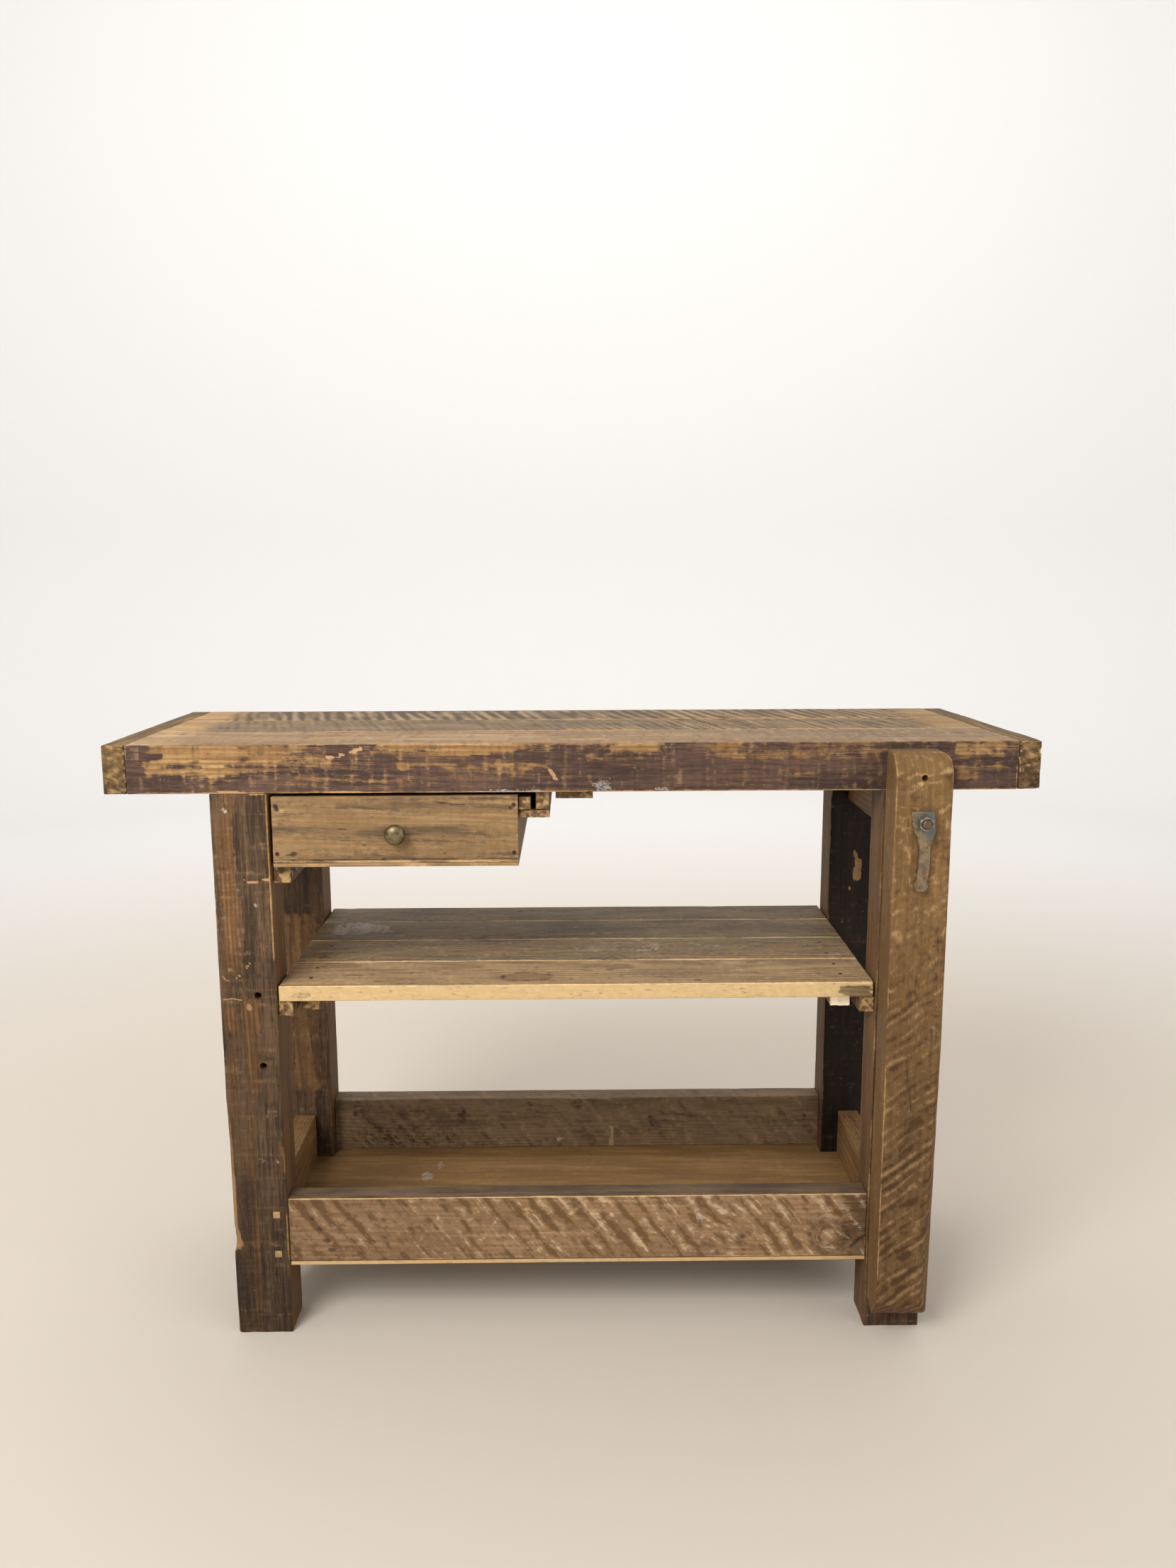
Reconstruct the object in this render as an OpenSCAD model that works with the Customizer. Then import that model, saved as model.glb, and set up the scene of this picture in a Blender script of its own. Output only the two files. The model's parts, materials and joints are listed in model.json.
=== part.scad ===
// Reclaimed-timber workbench: plank top with capped ends, four square legs, pegged rails,
// a thin tray nailed under the rails, a board shelf, one drawer hung under the top
// and a leg vise with an iron lever.
// X runs along the front, Y from front to back and Z up. All lengths are in millimetres.
// The origin is on the floor, in the middle of the bench's plan outline.
// Inside the modules Y = 0 is the front face of the top and of the front legs.

/* [Top] */
// Length of the top along the front
top_w = 1300; // [1250:10:1350]
// Depth of the top from front to back
top_d = 415; // [405:1:430]
// Thickness of the top
top_t = 68.7; // [64:0.1:72]
// Height of the working surface above the floor
bench_h = 888.3; // [870:0.1:900]
// Width of the cross pieces that cap the plank ends
cap_w = 32.5; // [28:0.5:38]
// How far the right end leans in at the back
end_skew = 19; // [0:1:24]
// Width of the front plank
plank_front_w = 143; // [136:1:150]
// Width of the middle plank
plank_middle_w = 139; // [130:1:145]
// Length of the tongues that hold the planks in the end caps
tongue_len = 12; // [8:1:16]
// Thickness of those tongues
tongue_t = 20; // [14:1:26]

/* [Legs] */
// Width of a leg across the front
leg_w = 80.5; // [76:0.5:84]
// Depth of a front leg
leg_front_d = 66; // [62:1:70]
// Depth of a back leg
leg_back_d = 68; // [62:1:70]
// Distance of the left legs' inner faces from the middle
inner_left = 425; // [415:1:435]
// Distance of the right legs' inner faces from the middle
inner_right = 431; // [425:1:440]
// Distance of the back legs' rear faces from the front of the top
leg_rear_y = 406; // [400:1:412]
// Size of the square tenons on top of the legs
leg_tenon = 36; // [30:1:40]
// Length of those tenons
leg_tenon_len = 34; // [25:1:40]

/* [Rails] */
// Thickness of every rail
rail_t = 35; // [30:1:38]
// Height of the rails' lower edges above the floor
rail_z = 113; // [105:1:120]
// Height of the front rail's top edge
rail_front_top = 213; // [205:1:220]
// Height of the back rail's top edge
rail_back_top = 205.5; // [200:0.5:212]
// Height of the lower side rails' top edges
rail_side_top = 190; // [182:1:198]
// How far the side rails are set back from the legs' inner faces
rail_inset = 28; // [24:1:30]
// Height of the upper side rails
upper_rail_h = 75; // [68:1:80]
// Thickness of the rail tenons
tenon_t = 15; // [12:1:18]
// Length of the front and back rails' tenons
tenon_len = 36; // [30:1:36]
// Size of the square pegs that lock the tenons
peg = 10.5; // [9:0.5:12]
// Thickness of the tray's sheet
tray_t = 6; // [5:0.5:8]

/* [Shelf] */
// Height of the shelf's top face above the floor
shelf_z = 540.9; // [520:0.1:560]
// Thickness of the shelf boards
shelf_t = 23; // [20:0.5:26]
// Gap between shelf boards
board_gap = 1; // [0.5:0.5:3]
// Width of the ledgers on the legs
ledger_w = 21.5; // [18:0.5:24]
// Height of the ledgers and battens under the shelf
batten_h = 24; // [20:0.5:28]
// Width of the shelf's own battens
batten_w = 29; // [24:1:32]

/* [Drawer] */
// Distance of the drawer's left side from the middle
drawer_left = 420.7; // [416:0.1:421]
// Distance of the drawer's right side from the middle
drawer_right = 77.8; // [70:0.1:90]
// Depth of the drawer
drawer_d = 384; // [340:1:390]
// Height of the drawer bottom's underside above the floor
drawer_z = 715; // [712:0.5:718]
// Height of the drawer front's top edge
drawer_top = 815; // [808:0.5:816]
// Thickness of the drawer front
drawer_front_t = 18; // [15:1:20]
// Thickness of the drawer's sides and back
drawer_side_t = 12; // [10:0.5:15]
// Thickness of the drawer's bottom
drawer_bottom_t = 5; // [4:0.5:6]
// Diameter of the knob
knob_d = 30; // [26:1:34]
// How far the knob stands out
knob_l = 23; // [20:1:26]

/* [Vise] */
// Width of the jaw
jaw_w = 78.5; // [74:0.5:80]
// Thickness of the jaw
jaw_t = 54; // [48:1:58]
// Height of the jaw's top above the floor
jaw_top = 879; // [870:1:886]
// Gap between the closed jaw and the leg
jaw_gap = 3; // [2.5:0.5:5]
// Distance of the screw from the middle of the bench
screw_x = 472; // [470:1:474]
// Height of the screw above the floor
screw_z = 786; // [784:1:787]
// Diameter of the screw
screw_d = 16; // [14:1:16]
// How far the jaw opens
jaw_travel = 40; // [20:1:40]
// Thickness of the lever plate
lever_t = 6; // [4:0.5:8]
// Width across the flats of the nut on the lever
nut_af = 19; // [17:1:21]

/* [Hole pattern] */
// Diameter of the board-rest holes in the front left leg
rest_hole_d = 11; // [10:0.5:13]
// Height of the upper board-rest hole
rest_hole_high = 527; // [520:1:535]
// Height of the lower board-rest hole
rest_hole_low = 421; // [410:1:430]

/* [Hidden] */

$fn = 48;
cut = 1; // how far a cutter runs past the face that it opens

// Heights and plan positions that follow from the driving sizes
under_z = bench_h - top_t;
right_leg_extra = 1.5; // the right legs are a little wider
leg_left = [-inner_left - leg_w, -inner_left];
leg_right = [inner_right, inner_right + leg_w + right_leg_extra];
leg_front_y = [0, leg_front_d];
leg_back_y = [leg_rear_y - leg_back_d, leg_rear_y];
front_setback = 4; // of the front rail, from the front legs' faces
back_setback = 6; // of the back rail, from the back legs' faces
rail_front_y = [front_setback, front_setback + rail_t];
rail_back_y = [leg_rear_y - back_setback - rail_t, leg_rear_y - back_setback];
rail_left_x = [-inner_left - rail_inset - rail_t, -inner_left - rail_inset];
rail_right_x = [inner_right + rail_inset, inner_right + rail_inset + rail_t];
side_tenon_len = 30;
upper_rail_z = [under_z - upper_rail_h, under_z];
// The upper tenons stay low in their rails, below the vise screw
upper_tenon_z = [upper_rail_z[0] + 5, upper_rail_z[0] + 28];

// Top: the right end's line, as X at a given Y
right_end_front = top_w / 2 - cap_w;
function right_end(y) = right_end_front - end_skew * y / top_d;
left_end = -top_w / 2 + cap_w;
tongue_z = [bench_h - top_t / 2 - tongue_t / 2, bench_h - top_t / 2 + tongue_t / 2];
tongue_margin = 14; // from the ends of a cap to the first tongue
plank_y = [[0, plank_front_w],
           [plank_front_w, plank_front_w + plank_middle_w],
           [plank_front_w + plank_middle_w, top_d]];

// Shelf
end_gap = [2.5, 3]; // between the boards' ends and the legs' inner faces
batten_gap = [27, 29]; // between the battens and the legs' inner faces
shelf_x = [-inner_left + end_gap[0], inner_right - end_gap[1]];
shelf_y = [1, leg_rear_y + 6];
board_widths = [109, 109, 104]; // the last board takes what is left
shelf_under = shelf_z - shelf_t;
shelf_nail_y = [[38, 84], [138, 194], [248, 300], [346, 374]];
batten_left_x = [-inner_left + batten_gap[0], -inner_left + batten_gap[0] + batten_w];
batten_right_x = [inner_right - batten_gap[1] - batten_w, inner_right - batten_gap[1]];
batten_y = [30, 385];
ledger_back = leg_rear_y - 6; // rear end of every ledger

// Drawer and the strips that carry it
drawer_x = [-drawer_left, -drawer_right];
drawer_y = [0, drawer_d];
drawer_box_z = drawer_z + drawer_bottom_t;
slide_gap = 0.5;
ledge_z = [780.5, 792.5];
cleat_z = [ledge_z[1] + slide_gap, 811.7];
cleat_w = 17.8;
spacer_x = [-54, -34];
runner_y = [12, 400];
knob_x = -248;
knob_z = 763;
knob_screw_r = 2;
knob_screw_l = 11; // how deep the screw reaches into the knob
runner_screw_y = [45, 120, 205, 330, 385];

// Vise
jaw_x = [screw_x - 39, screw_x - 39 + jaw_w];
jaw_y = [-jaw_gap - jaw_t, -jaw_gap];
jaw_bottom = 42;
jaw_nose = [[24, 0], [13, 8], [0, 25]]; // how far back and down the sloping nose's corners lie
jaw_corner_r = [5, 15]; // top left and top right corners
jaw_foot_z = 74; // where the front face starts to slope back to the foot
chamfer_z = [20, 560];
chamfer_w = 18;
screw_r = screw_d / 2;
collar_r = 13;
collar_t = 5.5;
washer_t = 3;
washer_r = 14;
nut_h = 10;
washer_y = jaw_y[0] - slide_gap;
lever_y = washer_y - washer_t;
nut_y = lever_y - lever_t;
stud_front = nut_y - nut_h - 3.5;
stud_back = 56;
stud_end_r = 6.4;
guide_x = [screw_x - 10, screw_x + 10];
guide_z = [60, 98];
guide_end = 152;
plate_size = 50;
plate_t = 6;
boss_r = 15;
boss_l = 16;
plate_hole = 18; // from the screw axis to each fixing screw, both ways

// The plan outline runs from the stud's front end to the back of the top
mid_y = (top_d + stud_front) / 2;

// Colours
wood_dark = "#4b3a35";
wood_brown = "#6e4a33";
wood_grey = "#7a6a5c";
wood_tan = "#a98660";
wood_pale = "#c9a878";
iron = "#4a4746";
steel = "#8a8a86";
bronze = "#6b5530";

// ---- Shapes that repeat ----

module bench() {
    translate([0, -mid_y, 0]) children();
}

module block(x, y, z) {
    translate([x[0], y[0], z[0]]) cube([x[1] - x[0], y[1] - y[0], z[1] - z[0]]);
}

// A cylinder from one Y to another, about an axis parallel to Y
module rod_y(x, z, y, r) {
    translate([x, y[1], z]) rotate([90, 0, 0]) cylinder(r = r, h = y[1] - y[0]);
}

// A cylinder from one X to another, about an axis parallel to X
module rod_x(y, z, x, r) {
    translate([x[0], y, z]) rotate([0, 90, 0]) cylinder(r = r, h = x[1] - x[0]);
}

// A countersunk wood screw whose head is at the origin and whose point is at +Z
module screw(l, r = 2.2) {
    cylinder(r1 = 2 * r, r2 = r, h = r);
    translate([0, 0, r]) cylinder(r = r, h = l - 3 * r);
    translate([0, 0, l - 2 * r]) cylinder(r1 = r, r2 = 0.4, h = 2 * r);
}

// A flat-headed nail, head at the origin and point at +Z
module nail(l, r = 1.3) {
    cylinder(r = 2.4 * r, h = 1.2);
    cylinder(r = r, h = l - 3);
    translate([0, 0, l - 3]) cylinder(r1 = r, r2 = 0.3, h = 3);
}

// Points along a circular arc
function arc(c, r, a0, a1, n = 12) =
    [for (i = [0:n]) c + r * [cos(a0 + (a1 - a0) * i / n), sin(a0 + (a1 - a0) * i / n)]];

// ---- Top ----

// One plank between the end caps, in plan
module plank_plan(y) {
    polygon([[left_end, y[0]], [right_end(y[0]), y[0]], [right_end(y[1]), y[1]], [left_end, y[1]]]);
}

// Tongues at both ends of a plank, in plan
module tongue_plan(y) {
    a = max(y[0], tongue_margin);
    b = min(y[1], top_d - tongue_margin);
    polygon([[left_end - tongue_len, a], [right_end(a) + tongue_len, a],
             [right_end(b) + tongue_len, b], [left_end - tongue_len, b]]);
}

module tongues(y) {
    translate([0, 0, tongue_z[0]]) linear_extrude(tongue_t) tongue_plan(y);
}

module leg_top_tenon(x, y) {
    cx = (x[0] + x[1]) / 2;
    cy = (y[0] + y[1]) / 2;
    block([cx - leg_tenon / 2, cx + leg_tenon / 2],
          [cy - leg_tenon / 2, cy + leg_tenon / 2],
          [under_z, under_z + leg_tenon_len]);
}

module leg_mortises(y) {
    leg_top_tenon(leg_left, y);
    leg_top_tenon(leg_right, y);
}

module plank(y) {
    translate([0, 0, under_z]) linear_extrude(top_t) plank_plan(y);
    tongues(y);
}

module top_plank_front() {
    bench() color(wood_dark) difference() {
        plank(plank_y[0]);
        leg_mortises(leg_front_y);
    }
}

module top_plank_middle() {
    bench() color(wood_dark) plank(plank_y[1]);
}

module top_plank_rear() {
    bench() color(wood_dark) difference() {
        plank(plank_y[2]);
        leg_mortises(leg_back_y);
    }
}

module top_end_cap_left() {
    bench() color(wood_tan) difference() {
        block([-top_w / 2, left_end], [0, top_d], [under_z, bench_h]);
        for (y = plank_y) tongues(y);
    }
}

module top_end_cap_right() {
    bench() color(wood_tan) difference() {
        translate([0, 0, under_z]) linear_extrude(top_t)
            polygon([[right_end(0), 0], [top_w / 2, 0],
                     [top_w / 2 - end_skew, top_d], [right_end(top_d), top_d]]);
        for (y = plank_y) tongues(y);
    }
}

// Batten screwed across the middle of the planks' undersides
top_batten_x = [-26, 27];
top_batten_y = [20, 395];
top_batten_z = [under_z - 13.6, under_z];

module top_batten() {
    bench() color(wood_tan) block(top_batten_x, top_batten_y, top_batten_z);
}

module batten_screws() {
    bench() color(steel) for (y = runner_screw_y)
        translate([(top_batten_x[0] + top_batten_x[1]) / 2, y, top_batten_z[0]]) screw(45);
}

// ---- Legs ----

// Tenons at both ends of a front or back rail
module long_rail_tenons(y, z) {
    mid = (y[0] + y[1]) / 2;
    block([-inner_left - tenon_len, inner_right + tenon_len],
          [mid - tenon_t / 2, mid + tenon_t / 2], z);
}

// Tenons at both ends of a side rail
module side_rail_tenons(x, z) {
    mid = (x[0] + x[1]) / 2;
    block([mid - tenon_t / 2, mid + tenon_t / 2],
          [leg_front_y[1] - side_tenon_len, leg_back_y[0] + side_tenon_len], z);
}

front_tenon_z = [rail_z + 4, rail_front_top - 8];
back_tenon_z = [rail_z + 4, rail_back_top - 4];
side_tenon_z = [rail_z + 6, rail_side_top - 6];

module front_rail_tenons() {
    long_rail_tenons(rail_front_y, front_tenon_z);
}

module back_rail_tenons() {
    long_rail_tenons(rail_back_y, back_tenon_z);
}

// Everything that is let into the legs by the side rails, for one side
module side_mortises(x) {
    side_rail_tenons(x, side_tenon_z);
    side_rail_tenons(x, upper_tenon_z);
}

module leg(x, y) {
    block(x, y, [0, under_z]);
    leg_top_tenon(x, y);
}

module leg_front_left() {
    bench() color(wood_brown) difference() {
        leg(leg_left, leg_front_y);
        front_rail_tenons();
        side_mortises(rail_left_x);
        peg_shafts();
        side_peg_shafts();
        for (hole = rest_holes)
            rod_y(hole[0], hole[1], [-cut, leg_front_d + cut], rest_hole_d / 2);
    }
}

module leg_front_right() {
    bench() color(wood_brown) difference() {
        leg(leg_right, leg_front_y);
        front_rail_tenons();
        side_mortises(rail_right_x);
        peg_shafts();
        side_peg_shafts();
        nut_plate_body(extra = cut);
        rod_y(screw_x, screw_z, [-cut, stud_back + 2], screw_r + 1);
        block([guide_x[0] - 1, guide_x[1] + 1], [-cut, leg_front_d + cut],
              [guide_z[0] - 1, guide_z[1] + 1]);
    }
}

module leg_back_left() {
    bench() color(wood_brown) difference() {
        leg(leg_left, leg_back_y);
        back_rail_tenons();
        side_mortises(rail_left_x);
        peg_shafts();
        side_peg_shafts();
    }
}

module leg_back_right() {
    bench() color(wood_brown) difference() {
        leg(leg_right, leg_back_y);
        back_rail_tenons();
        side_mortises(rail_right_x);
        peg_shafts();
        side_peg_shafts();
    }
}

rest_holes = [[-inner_left - 27, rest_hole_high], [-inner_left - 24, rest_hole_low]];

// ---- Rails ----

module rail_front() {
    bench() color(wood_grey) difference() {
        union() {
            block([-inner_left, inner_right], rail_front_y, [rail_z, rail_front_top]);
            front_rail_tenons();
        }
        peg_shafts();
    }
}

module rail_back() {
    bench() color(wood_dark) difference() {
        union() {
            block([-inner_left, inner_right], rail_back_y, [rail_z, rail_back_top]);
            back_rail_tenons();
        }
        peg_shafts();
    }
}

module side_rail(x, z, tenon_z) {
    difference() {
        union() {
            block(x, [leg_front_y[1], leg_back_y[0]], z);
            side_rail_tenons(x, tenon_z);
        }
        side_peg_shafts();
    }
}

module rail_left() {
    bench() color(wood_brown) side_rail(rail_left_x, [rail_z, rail_side_top], side_tenon_z);
}

module rail_right() {
    bench() color(wood_brown) side_rail(rail_right_x, [rail_z, rail_side_top], side_tenon_z);
}

module upper_rail_left() {
    bench() color(wood_brown) side_rail(rail_left_x, upper_rail_z, upper_tenon_z);
}

module upper_rail_right() {
    bench() color(wood_brown) side_rail(rail_right_x, upper_rail_z, upper_tenon_z);
}

// Square pegs driven through the legs into the front and back rails' tenons
peg_x = [-inner_left - 16, inner_right + 17];
peg_z = [127, 189.5];
peg_len = 46;

module peg_shafts() {
    for (x = peg_x) for (z = peg_z) {
        block([x - peg / 2, x + peg / 2], [0, peg_len], [z - peg / 2, z + peg / 2]);
        block([x - peg / 2, x + peg / 2], [leg_rear_y - peg_len, leg_rear_y],
              [z - peg / 2, z + peg / 2]);
    }
}

module rail_pegs() {
    bench() color(wood_pale) peg_shafts();
}

// Square pegs driven from the ends of the bench into the side rails' tenons
side_peg_y = [leg_front_y[1] - 14, leg_back_y[0] + 14];
side_peg_z = [151.5, (upper_tenon_z[0] + upper_tenon_z[1]) / 2];
side_peg_l = 50;

module side_peg_shafts() {
    for (y = side_peg_y) for (z = side_peg_z) {
        block([leg_left[0], leg_left[0] + side_peg_l], [y - peg / 2, y + peg / 2],
              [z - peg / 2, z + peg / 2]);
        block([leg_right[1] - side_peg_l, leg_right[1]], [y - peg / 2, y + peg / 2],
              [z - peg / 2, z + peg / 2]);
    }
}

module side_rail_pegs() {
    bench() color(wood_pale) side_peg_shafts();
}

// ---- Tray under the rails ----

module tray_sheet() {
    bench() color(wood_tan) translate([0, 0, rail_z - tray_t]) linear_extrude(tray_t)
        difference() {
            translate([rail_left_x[0], rail_front_y[0]])
                square([rail_right_x[1] - rail_left_x[0], rail_back_y[1] - rail_front_y[0]]);
            for (x = [leg_left, leg_right]) for (y = [leg_front_y, leg_back_y])
                translate([x[0] - 1, y[0] - 1]) square([x[1] - x[0] + 2, y[1] - y[0] + 2]);
        }
}

tray_nail_x = [for (i = [0:5]) -370 + 149 * i];
tray_nail_y = [110, 200, 290];
tray_nail_l = 32;
tray_nail_z = rail_z - tray_t - 0.6;

module tray_nails() {
    bench() color(iron) {
        for (x = tray_nail_x) for (y = [rail_front_y, rail_back_y])
            translate([x, (y[0] + y[1]) / 2, tray_nail_z]) nail(tray_nail_l);
        for (x = [rail_left_x, rail_right_x]) for (y = tray_nail_y)
            translate([(x[0] + x[1]) / 2, y, tray_nail_z]) nail(tray_nail_l);
    }
}

// ---- Shelf ----

function board_start(i) = i == 0 ? shelf_y[0] : board_start(i - 1) + board_widths[i - 1] + board_gap;
function board_end(i) = i == len(board_widths) ? shelf_y[1] : board_start(i) + board_widths[i];

module shelf_board(i) {
    bench() color(wood_grey)
        block(shelf_x, [board_start(i), board_end(i)], [shelf_under, shelf_z]);
}

module shelf_board_1() { shelf_board(0); }
module shelf_board_2() { shelf_board(1); }
module shelf_board_3() { shelf_board(2); }
module shelf_board_4() { shelf_board(3); }

module shelf_batten(x) {
    bench() color(wood_pale) block(x, batten_y, [shelf_under - batten_h, shelf_under]);
}

module shelf_batten_left() { shelf_batten(batten_left_x); }
module shelf_batten_right() { shelf_batten(batten_right_x); }

// Nails through every board into both battens
module shelf_nails() {
    bench() color(iron) for (x = [batten_left_x, batten_right_x]) for (pair = shelf_nail_y)
        for (y = pair) translate([(x[0] + x[1]) / 2, y, shelf_z + 0.4]) mirror([0, 0, 1]) nail(42);
}

module shelf_ledger(x) {
    bench() color(wood_pale) block(x, [5, ledger_back], [shelf_under - batten_h, shelf_under]);
}

module shelf_ledger_left() { shelf_ledger([-inner_left, -inner_left + ledger_w]); }
module shelf_ledger_right() { shelf_ledger([inner_right - ledger_w, inner_right]); }

// Drawer's left-hand support, fixed to the left legs
drawer_ledger_x = [-inner_left, -inner_left + 25];
drawer_ledger_z = [689, drawer_z - slide_gap];

module drawer_ledger() {
    bench() color(wood_tan) block(drawer_ledger_x, [10, ledger_back], drawer_ledger_z);
}

// Screws through the ledgers into the legs
ledger_screw_y = [22, 52, leg_back_y[0] + 16, leg_back_y[0] + 50];
ledger_screw_l = 50;
ledger_screw_z = shelf_under - batten_h / 2;
drawer_ledger_screw_z = drawer_ledger_z[0] + 12;

module ledger_screws() {
    bench() color(steel) for (y = ledger_screw_y) {
        translate([-inner_left + ledger_w, y, ledger_screw_z])
            rotate([0, -90, 0]) screw(ledger_screw_l);
        translate([inner_right - ledger_w, y, ledger_screw_z])
            rotate([0, 90, 0]) screw(ledger_screw_l);
        translate([drawer_ledger_x[1], y, drawer_ledger_screw_z])
            rotate([0, -90, 0]) screw(ledger_screw_l);
    }
}

// ---- Strips that hang the drawer's right side from the top ----

module runner_spacer() {
    bench() color(wood_tan) block(spacer_x, runner_y, [ledge_z[1], under_z]);
}

ledge_x = [drawer_x[1] + 1.2, spacer_x[1]];

module runner_ledge() {
    bench() color(wood_tan) block(ledge_x, runner_y, ledge_z);
}

module runner_screws() {
    bench() color(steel) for (y = runner_screw_y)
        translate([(spacer_x[0] + spacer_x[1]) / 2, y, ledge_z[0]]) screw(70);
}

// ---- Drawer ----

module drawer_front() {
    bench() color(wood_tan) difference() {
        block(drawer_x, [0, drawer_front_t], [drawer_box_z, drawer_top]);
        rod_y(knob_x, knob_z, [-cut, drawer_front_t + cut], knob_screw_r + 0.2);
    }
}

module drawer_side(x) {
    bench() color(wood_tan)
        block(x, [drawer_front_t, drawer_y[1]], [drawer_box_z, drawer_top - 9]);
}

module drawer_side_left() { drawer_side([drawer_x[0], drawer_x[0] + drawer_side_t]); }
module drawer_side_right() { drawer_side([drawer_x[1] - drawer_side_t, drawer_x[1]]); }

module drawer_back() {
    bench() color(wood_tan)
        block([drawer_x[0] + drawer_side_t, drawer_x[1] - drawer_side_t],
              [drawer_y[1] - drawer_side_t, drawer_y[1]], [drawer_box_z, drawer_top - 14]);
}

module drawer_bottom() {
    bench() color(wood_pale) block(drawer_x, drawer_y, [drawer_z, drawer_box_z]);
}

module drawer_cleat() {
    bench() color(wood_pale) block([drawer_x[1], drawer_x[1] + cleat_w], [6, 380], cleat_z);
}

// Turned knob: foot, neck and domed head
module drawer_knob() {
    r = knob_d / 2;
    head = 9;
    bench() color(bronze) translate([knob_x, 0, knob_z]) rotate([90, 0, 0]) difference() {
        rotate_extrude($fn = 64) polygon(concat(
            [[0, 0], [8, 0], [8, 2], [5.5, 4], [5, 8],
             [7, knob_l - head - 2], [r - 1, knob_l - head - 1]],
            [for (i = [0:8]) [r * cos(i * 11.25), knob_l - head + head * sin(i * 11.25)]]));
        translate([0, 0, -cut]) cylinder(r = knob_screw_r, h = knob_screw_l + 1 + cut);
    }
}

module drawer_knob_screw() {
    bench() color(steel) {
        rod_y(knob_x, knob_z, [-knob_screw_l, drawer_front_t], knob_screw_r);
        rod_y(knob_x, knob_z, [drawer_front_t, drawer_front_t + 2.5], 2 * knob_screw_r);
    }
}

// Nails at the drawer's corners and along its bottom; their heads stand a little proud
front_nail_z = [734, 802];
back_nail_z = [736, 786];
bottom_nail_y = [60, 150, 240, 330];

module drawer_nails() {
    side_mid = drawer_side_t / 2;
    side_x = [drawer_x[0] + side_mid, drawer_x[1] - side_mid];
    bench() color(iron) {
        for (x = side_x) for (z = front_nail_z)
            translate([x, -0.3, z]) rotate([-90, 0, 0]) nail(42);
        for (z = back_nail_z) {
            translate([drawer_x[0] - 0.3, drawer_y[1] - side_mid, z]) rotate([0, 90, 0]) nail(38);
            translate([drawer_x[1] + 0.3, drawer_y[1] - side_mid, z]) rotate([0, -90, 0]) nail(38);
        }
        for (x = side_x) for (y = bottom_nail_y)
            translate([x, y, drawer_z - 0.2]) nail(24);
    }
}

// ---- Leg vise ----

// Side view of the jaw: X here is the bench's Y
module jaw_side() {
    polygon(concat(
        [[jaw_y[1], jaw_top - 1]],
        [for (p = jaw_nose) [jaw_y[0] + p[0], jaw_top - p[1]]],
        [[jaw_y[0], jaw_foot_z], [jaw_y[0] + 12, jaw_bottom + 7],
         [jaw_y[0] + 24, jaw_bottom], [jaw_y[1], jaw_bottom + 9]]));
}

// Front view of the jaw: the top right corner is well rounded
module jaw_face() {
    polygon(concat(
        [[jaw_x[0], jaw_bottom - cut], [jaw_x[1], jaw_bottom - cut]],
        arc([jaw_x[1] - jaw_corner_r[1], jaw_top - jaw_corner_r[1]], jaw_corner_r[1], 0, 90),
        arc([jaw_x[0] + jaw_corner_r[0], jaw_top - jaw_corner_r[0]], jaw_corner_r[0], 90, 180)));
}

// A long chamfer on the jaw's lower right edge that widens towards the floor
module jaw_chamfer() {
    edge = [jaw_x[1] + cut, jaw_y[0] - cut];
    polyhedron(
        points = [[edge[0], edge[1], chamfer_z[1]], [edge[0], edge[1], chamfer_z[0]],
                  [edge[0], edge[1] + chamfer_w, chamfer_z[0]],
                  [edge[0] - chamfer_w, edge[1], chamfer_z[0]]],
        faces = [[0, 2, 1], [0, 1, 3], [0, 3, 2], [1, 2, 3]]);
}

module jaw_blank() {
    intersection() {
        translate([jaw_x[0] - cut, 0, 0]) rotate([90, 0, 90])
            linear_extrude(jaw_w + 2 * cut) jaw_side();
        translate([0, jaw_y[1] + cut, 0]) rotate([90, 0, 0])
            linear_extrude(jaw_t + 2 * cut) jaw_face();
    }
}

module guide_bar() {
    block(guide_x, [jaw_y[1] - 40, guide_end], guide_z);
}

module vise_jaw() {
    bench() color(wood_brown) difference() {
        jaw_blank();
        jaw_chamfer();
        rod_y(screw_x, screw_z, [jaw_y[0] - cut, jaw_y[1] + cut], screw_r + 0.1);
        rod_y(screw_x, screw_z, [jaw_y[1] - collar_t - 1, jaw_y[1] + cut], collar_r + 1);
        guide_bar();
    }
}

// Bar that keeps the jaw's foot parallel: fixed in the jaw, free in the leg's mortise
guide_pin_y = leg_front_d + jaw_travel + 6;
guide_mid_z = (guide_z[0] + guide_z[1]) / 2;
guide_pin_r = 5;
guide_pin_l = 52;
pin_hole_pitch = 22;

module vise_guide() {
    bench() color(wood_pale) difference() {
        guide_bar();
        for (i = [0:1])
            rod_x(guide_pin_y + pin_hole_pitch * i, guide_mid_z,
                  [guide_x[0] - cut, guide_x[1] + cut], guide_pin_r);
    }
}

// Pin that stops the guide from pulling out of the leg
module vise_guide_pin() {
    bench() color(wood_pale)
        rod_x(guide_pin_y, guide_mid_z,
              [screw_x - guide_pin_l / 2, screw_x + guide_pin_l / 2], guide_pin_r);
}

// Threaded stud: a thin end for the lever's nut, then the full screw
module vise_stud() {
    bench() color(iron) {
        rod_y(screw_x, screw_z, [stud_front, washer_y], stud_end_r);
        rod_y(screw_x, screw_z, [washer_y, stud_back], screw_r);
    }
}

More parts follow.
